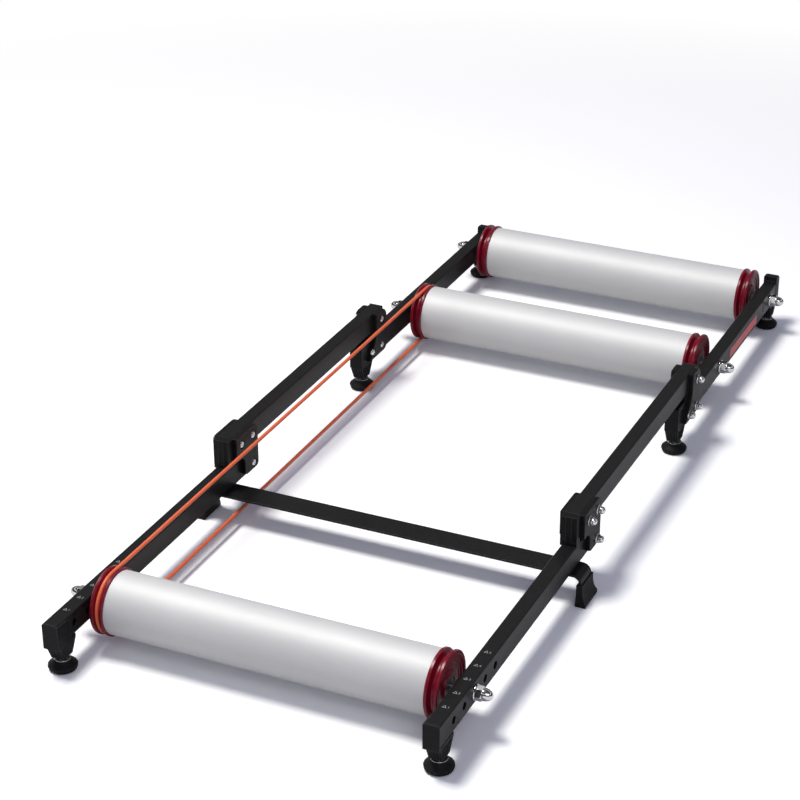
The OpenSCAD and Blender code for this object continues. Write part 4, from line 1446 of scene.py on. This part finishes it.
def foot_cup(name, x, y):
    """The rubber cup of one screw foot, with a scalloped skirt for the fingers."""
    piece = turned(name, "Z", (x, y, pad_low.z), [
        (0, pad_r - 3.0 * MM), (0.6 * MM, pad_r - 2.0 * MM), (2.0 * MM, pad_r - 1.0 * MM),
        (4.6 * MM, pad_r), (6.6 * MM, pad_r), (7.6 * MM, pad_r - 1.0 * MM), (10.2 * MM, pad_r * 0.78),
        (12.4 * MM, pad_r * 0.65), (13.8 * MM, pad_r * 0.60), (pad_h - 0.4 * MM, pad_r * 0.58),
        (pad_h, pad_r * 0.54)], cup_sides)
    edit(piece)
    pick("FACE", lambda place, way: way.z < -ALONG and near(place.z, pad_low.z))
    bpy.ops.mesh.inset(thickness=skirt_w)
    bpy.ops.mesh.inset(thickness=MM, depth=-hollow_h)
    close()
    rods = []
    for i in range(scallops):
        angle = 2 * math.pi * (i + 0.5) / scallops
        middle = (x + scallop_at * math.cos(angle), y + scallop_at * math.sin(angle), scallop_z)
        rods.append(rod_along("scallop", "Z", middle, scallop_r, scallop_h, 24))
    cut(piece, join("scallops", rods))
    return soften(piece, 0.2 * MM)


def foot_ring(name, x, y):
    """The thin steel ring that is moulded into the top of a cup."""
    top = pad_low.z + pad_h
    return soften(turned(name, "Z", (x, y, top - 0.9 * MM), [
        (0, ring_r), (0.8 * MM, ring_r), (1.1 * MM, ring_r - 0.3 * MM)], ring_sides), 0.1 * MM)


feet = {"front": front_foot_y, "hinge": hinge_foot_y, "rear": rear_foot_y}
for place, y in feet.items():
    for side, sign in side_signs.items():
        dress(foot_cup(f"foot_{place}_{side}", sign * rail_x, y), foot_rubber,
              f"{place}_{side}_foot", f"foot_pad_{place}_{side}")
        dress(foot_ring(f"foot_ring_{place}_{side}", sign * rail_x, y), bright_steel,
              f"{place}_{side}_foot")
print("feet", round(2 * pad_r / MM, 1), "mm across")

# %% [markdown]
# ## Printed marks
# The axle holes are numbered on the top of each front rail, so that both ends of the axle go into the
# same hole. The print could be a pattern in the paint, but as thin pieces of their own the marks stay
# sharp. A number is a text object made into a mesh, with a small hollow triangle beside it.

# %% Hole numbers
number_size = 5.04 * MM
number_right = 3.4 * MM
arrow_left = 1.4 * MM
arrow_ahead = 0.4 * MM
arrow_r = 3.2 * MM
arrow_stroke = 0.6 * MM
print_t = 0.05 * MM


def number_on(text, x, y, z):
    """One plain number, printed on a rail's top."""
    bpy.ops.object.select_all(action="DESELECT")
    bpy.ops.object.text_add(location=(x, y, z))
    letters = bpy.context.object.data
    letters.body = text
    letters.size = number_size
    letters.align_x = "CENTER"
    letters.align_y = "CENTER"
    letters.extrude = print_t
    bpy.ops.object.convert(target="MESH")
    return face_out(settled("number"))


def arrow_on(x, y, z):
    """A hollow triangle: a three-sided cylinder whose ends are inset and bridged."""
    bpy.ops.object.select_all(action="DESELECT")
    bpy.ops.mesh.primitive_cylinder_add(vertices=3, radius=arrow_r, depth=2 * print_t, location=(x, y, z))
    piece = settled("arrow")
    edit(piece)
    pick("FACE", lambda place, way: abs(way.z) > ALONG)
    bpy.ops.mesh.inset(thickness=arrow_stroke)
    bpy.ops.mesh.bridge_edge_loops()
    close()
    return piece


for side, sign in side_signs.items():
    marks = []
    for i, hole_y in enumerate(hole_rows):
        marks.append(number_on(str(i + 1), sign * rail_x + number_right, hole_y, low_rail_top))
        marks.append(arrow_on(sign * rail_x - arrow_left, hole_y - arrow_ahead, low_rail_top))
    dress(join(f"hole_numbers_{side}", marks), print_grey, "front_frame")
print("numbers 1 to", hole_count, "on both front rails")

# %% [markdown]
# ## The red strip
# The outer face of the right rear rail carries a bare red strip of thin film. It could be a patch of
# colour in the rail's material, but a real film has rounded corners and an edge that catches the light.
# So it is a box with bevelled corners that stands a quarter of a millimetre proud of the rail.

# %% Red strip
film_front_y = 407 * MM
film_rear_y = 545 * MM
film_low_z = 48 * MM
film_high_z = 62 * MM
film_proud = 0.25 * MM
film_sunk = 0.05 * MM
film_corner = 1.5 * MM

strip = box_between("red_strip", (rail_x + rail_half - film_sunk, film_front_y, film_low_z),
                    (rail_x + rail_half + film_proud, film_rear_y, film_high_z))
edit(strip)
bevel_edges(lambda place, way: abs(way.x) > ALONG, film_corner, 4)
close()
soften(strip, 0.06 * MM, 1)
dress(strip, strip_red, "rear_frame")
print("red strip", round((film_rear_y - film_front_y) / MM), "mm long")

# %% [markdown]
# ## Built parts that stay
# The axles, the bearings and the screws of the feet are right as they were built, and little of them
# shows. They could be modelled again, but nothing would be gained, so they only get their metal.

# %% Metal for the built parts
for name, node in frame["nodes"].items():
    if node.hide_render:
        continue
    metal = bearing_seal if "bearings" in name else bright_steel
    node.data.materials.clear()
    node.data.materials.append(metal)
    print("kept as built:", name)

# %% [markdown]
# ## The floor
# The rollers stand on a plain white floor. A floor that is white for every ray would throw a lot of
# light up at the frame, so it is mid grey for the light that bounces off it, white for the camera and
# nearly white in mirrors. It still keeps the shadows, because its shader stays a plain diffuse one.

# %% Floor
floor_half = 8.0
floor_drop = 0.2 * MM
floor_bounced = 0.45
floor_shown = 1.2
floor_in_mirror = 0.6


def mirror_ray(tree):
    """The Light Path node of a tree, and a value of 1 for what is seen by way of metal or glass."""
    path = tree.nodes.new("ShaderNodeLightPath")
    through = path.outputs["Is Transmission Ray"]
    return path, maths(tree, "MAXIMUM", path.outputs["Is Glossy Ray"], through)


bpy.ops.object.select_all(action="DESELECT")
bpy.ops.mesh.primitive_plane_add(size=2 * floor_half, location=(0, 0, -floor_drop))
floor = settled("studio_floor")
floor_white = bpy.data.materials.new("floor_white")
floor_white.use_nodes = True
floor_tree = floor_white.node_tree
floor_tree.nodes.clear()

floor_path, floor_mirrored = mirror_ray(floor_tree)
floor_mirrored = maths(floor_tree, "MULTIPLY", floor_mirrored, floor_in_mirror)
floor_seen = maths(floor_tree, "MAXIMUM", floor_path.outputs["Is Camera Ray"], floor_mirrored)
floor_tone = floor_tree.nodes.new("ShaderNodeMix")
floor_tone.data_type = "RGBA"
floor_tone.inputs[6].default_value = (floor_bounced, floor_bounced, floor_bounced, 1)
floor_tone.inputs[7].default_value = (floor_shown, floor_shown, floor_shown, 1)
floor_tree.links.new(floor_seen, floor_tone.inputs["Factor"])
floor_shader = floor_tree.nodes.new("ShaderNodeBsdfDiffuse")
floor_tree.links.new(floor_tone.outputs[2], floor_shader.inputs["Color"])
print("floor", 2 * floor_half, "m wide")

# %% [markdown]
# ### The floor far away
# The lamps hardly reach the far floor, so it would darken towards the horizon. More lamps could light
# it, but they would light the rollers too. So a white glow takes over with the distance from the middle,
# until the floor is as white as the room.

# %% Fade the floor into the room
fade_from = 1.2
fade_to = 2.2

floor_radius = floor_tree.nodes.new("ShaderNodeVectorMath")
floor_radius.operation = "LENGTH"
floor_place = floor_tree.nodes.new("ShaderNodeTexCoord").outputs["Object"]
floor_tree.links.new(floor_place, floor_radius.inputs[0])
floor_far = floor_tree.nodes.new("ShaderNodeMapRange")
floor_far.inputs["From Min"].default_value = fade_from
floor_far.inputs["From Max"].default_value = fade_to
floor_tree.links.new(floor_radius.outputs["Value"], floor_far.inputs["Value"])
floor_glow = floor_tree.nodes.new("ShaderNodeEmission")
floor_fade = floor_tree.nodes.new("ShaderNodeMixShader")
floor_share = maths(floor_tree, "MULTIPLY", floor_far.outputs[0], floor_seen)
floor_tree.links.new(floor_share, floor_fade.inputs[0])
floor_tree.links.new(floor_shader.outputs[0], floor_fade.inputs[1])
floor_tree.links.new(floor_glow.outputs[0], floor_fade.inputs[2])
floor_end = floor_tree.nodes.new("ShaderNodeOutputMaterial")
floor_tree.links.new(floor_fade.outputs[0], floor_end.inputs["Surface"])
floor.data.materials.append(floor_white)
print("floor fades between", fade_from, "and", fade_to, "m")

# %% [markdown]
# ## The room
# The room fills the shadows with a faint blue, and the camera sees it as white all round. One white for
# both would be simpler, but a room that bright would wash out every shadow.

# %% Room
room = bpy.data.worlds.new("studio_room")
bpy.context.scene.world = room
room.use_nodes = True
room_tree = room.node_tree
room_tree.nodes.clear()
fill = room_tree.nodes.new("ShaderNodeBackground")
fill.inputs["Color"].default_value = (0.72, 0.74, 1.0, 1)
fill.inputs["Strength"].default_value = 0.27
white = room_tree.nodes.new("ShaderNodeBackground")
white.inputs["Color"].default_value = (1, 1, 1, 1)
white.inputs["Strength"].default_value = 1.0
print("room fill", fill.inputs["Strength"].default_value)

# %% [markdown]
# ### What a mirror sees
# A mirror sees white walls below a dim ceiling with one bright band, so that the chrome has both light
# and dark in it. It could see the white room, but chrome in an even white room looks like grey plastic.

# %% Bands for mirrors
banded = room_tree.nodes.new("ShaderNodeBackground")
direction = room_tree.nodes.new("ShaderNodeSeparateXYZ")
looking = room_tree.nodes.new("ShaderNodeTexCoord").outputs["Generated"]
room_tree.links.new(looking, direction.inputs[0])
bands = room_tree.nodes.new("ShaderNodeValToRGB")
bands.color_ramp.elements[0].position = 0.05
bands.color_ramp.elements[0].color = (1, 1, 1, 1)
bands.color_ramp.elements[1].position = 0.14
bands.color_ramp.elements[1].color = (0.03, 0.03, 0.03, 1)
for height, level in ((0.50, 0.03), (0.57, 0.9), (0.65, 0.9), (0.72, 0.05), (1.0, 0.08)):
    bands.color_ramp.elements.new(height).color = (level, level, level, 1)
room_tree.links.new(direction.outputs["Z"], bands.inputs["Fac"])
room_tree.links.new(bands.outputs["Color"], banded.inputs["Color"])
print("bands:", len(bands.color_ramp.elements))

# %% [markdown]
# ### One room for every ray
# The Light Path node tells what kind of ray arrives. Two mix shaders choose by it between the fill, the
# bands and the white.

# %% Put the room together
room_path, room_mirrored = mirror_ray(room_tree)
lit = room_tree.nodes.new("ShaderNodeMixShader")
room_tree.links.new(room_mirrored, lit.inputs[0])
room_tree.links.new(fill.outputs[0], lit.inputs[1])
room_tree.links.new(banded.outputs[0], lit.inputs[2])
choose = room_tree.nodes.new("ShaderNodeMixShader")
room_tree.links.new(room_path.outputs["Is Camera Ray"], choose.inputs[0])
room_tree.links.new(lit.outputs[0], choose.inputs[1])
room_tree.links.new(white.outputs[0], choose.inputs[2])
room_end = room_tree.nodes.new("ShaderNodeOutputWorld")
room_tree.links.new(choose.outputs[0], room_end.inputs["Surface"])
print("room:", room.name)

# %% [markdown]
# ## The lamps
# A large soft lamp hangs above and to the left, which gives the soft shadows on the right of each rail. A
# weak one in front lifts the near sides. A single lamp would do for the shadows, but the outer faces of
# the right rails would then be lost in black.

# %% Lamps
def soft_lamp(name, place, size, energy, colour):
    """A rectangular lamp that points at the middle of the rollers."""
    bpy.ops.object.light_add(type="AREA", location=place)
    lamp = bpy.context.object
    lamp.name = name
    lamp.data.shape = "RECTANGLE"
    lamp.data.size, lamp.data.size_y = size
    lamp.data.energy = energy
    lamp.data.color = colour
    lamp.rotation_euler = (-Vector(place)).to_track_quat("-Z", "Y").to_euler()
    print(name, round(lamp.location.z, 1), "m up,", energy, "W")


soft_lamp("lamp_above", (-1.27, -0.5, 4.0), (1.35, 1.05), 138, (1.0, 0.985, 0.95))
soft_lamp("lamp_in_front", (1.5, -2.3, 2.0), (1.6, 1.6), 15, (0.95, 0.97, 1.0))

# %% [markdown]
# ## The last step
# The view could be left in its softer tones, but here the colours are shown as they were written.

# %% The last step
bpy.context.scene.view_settings.view_transform = "Standard"
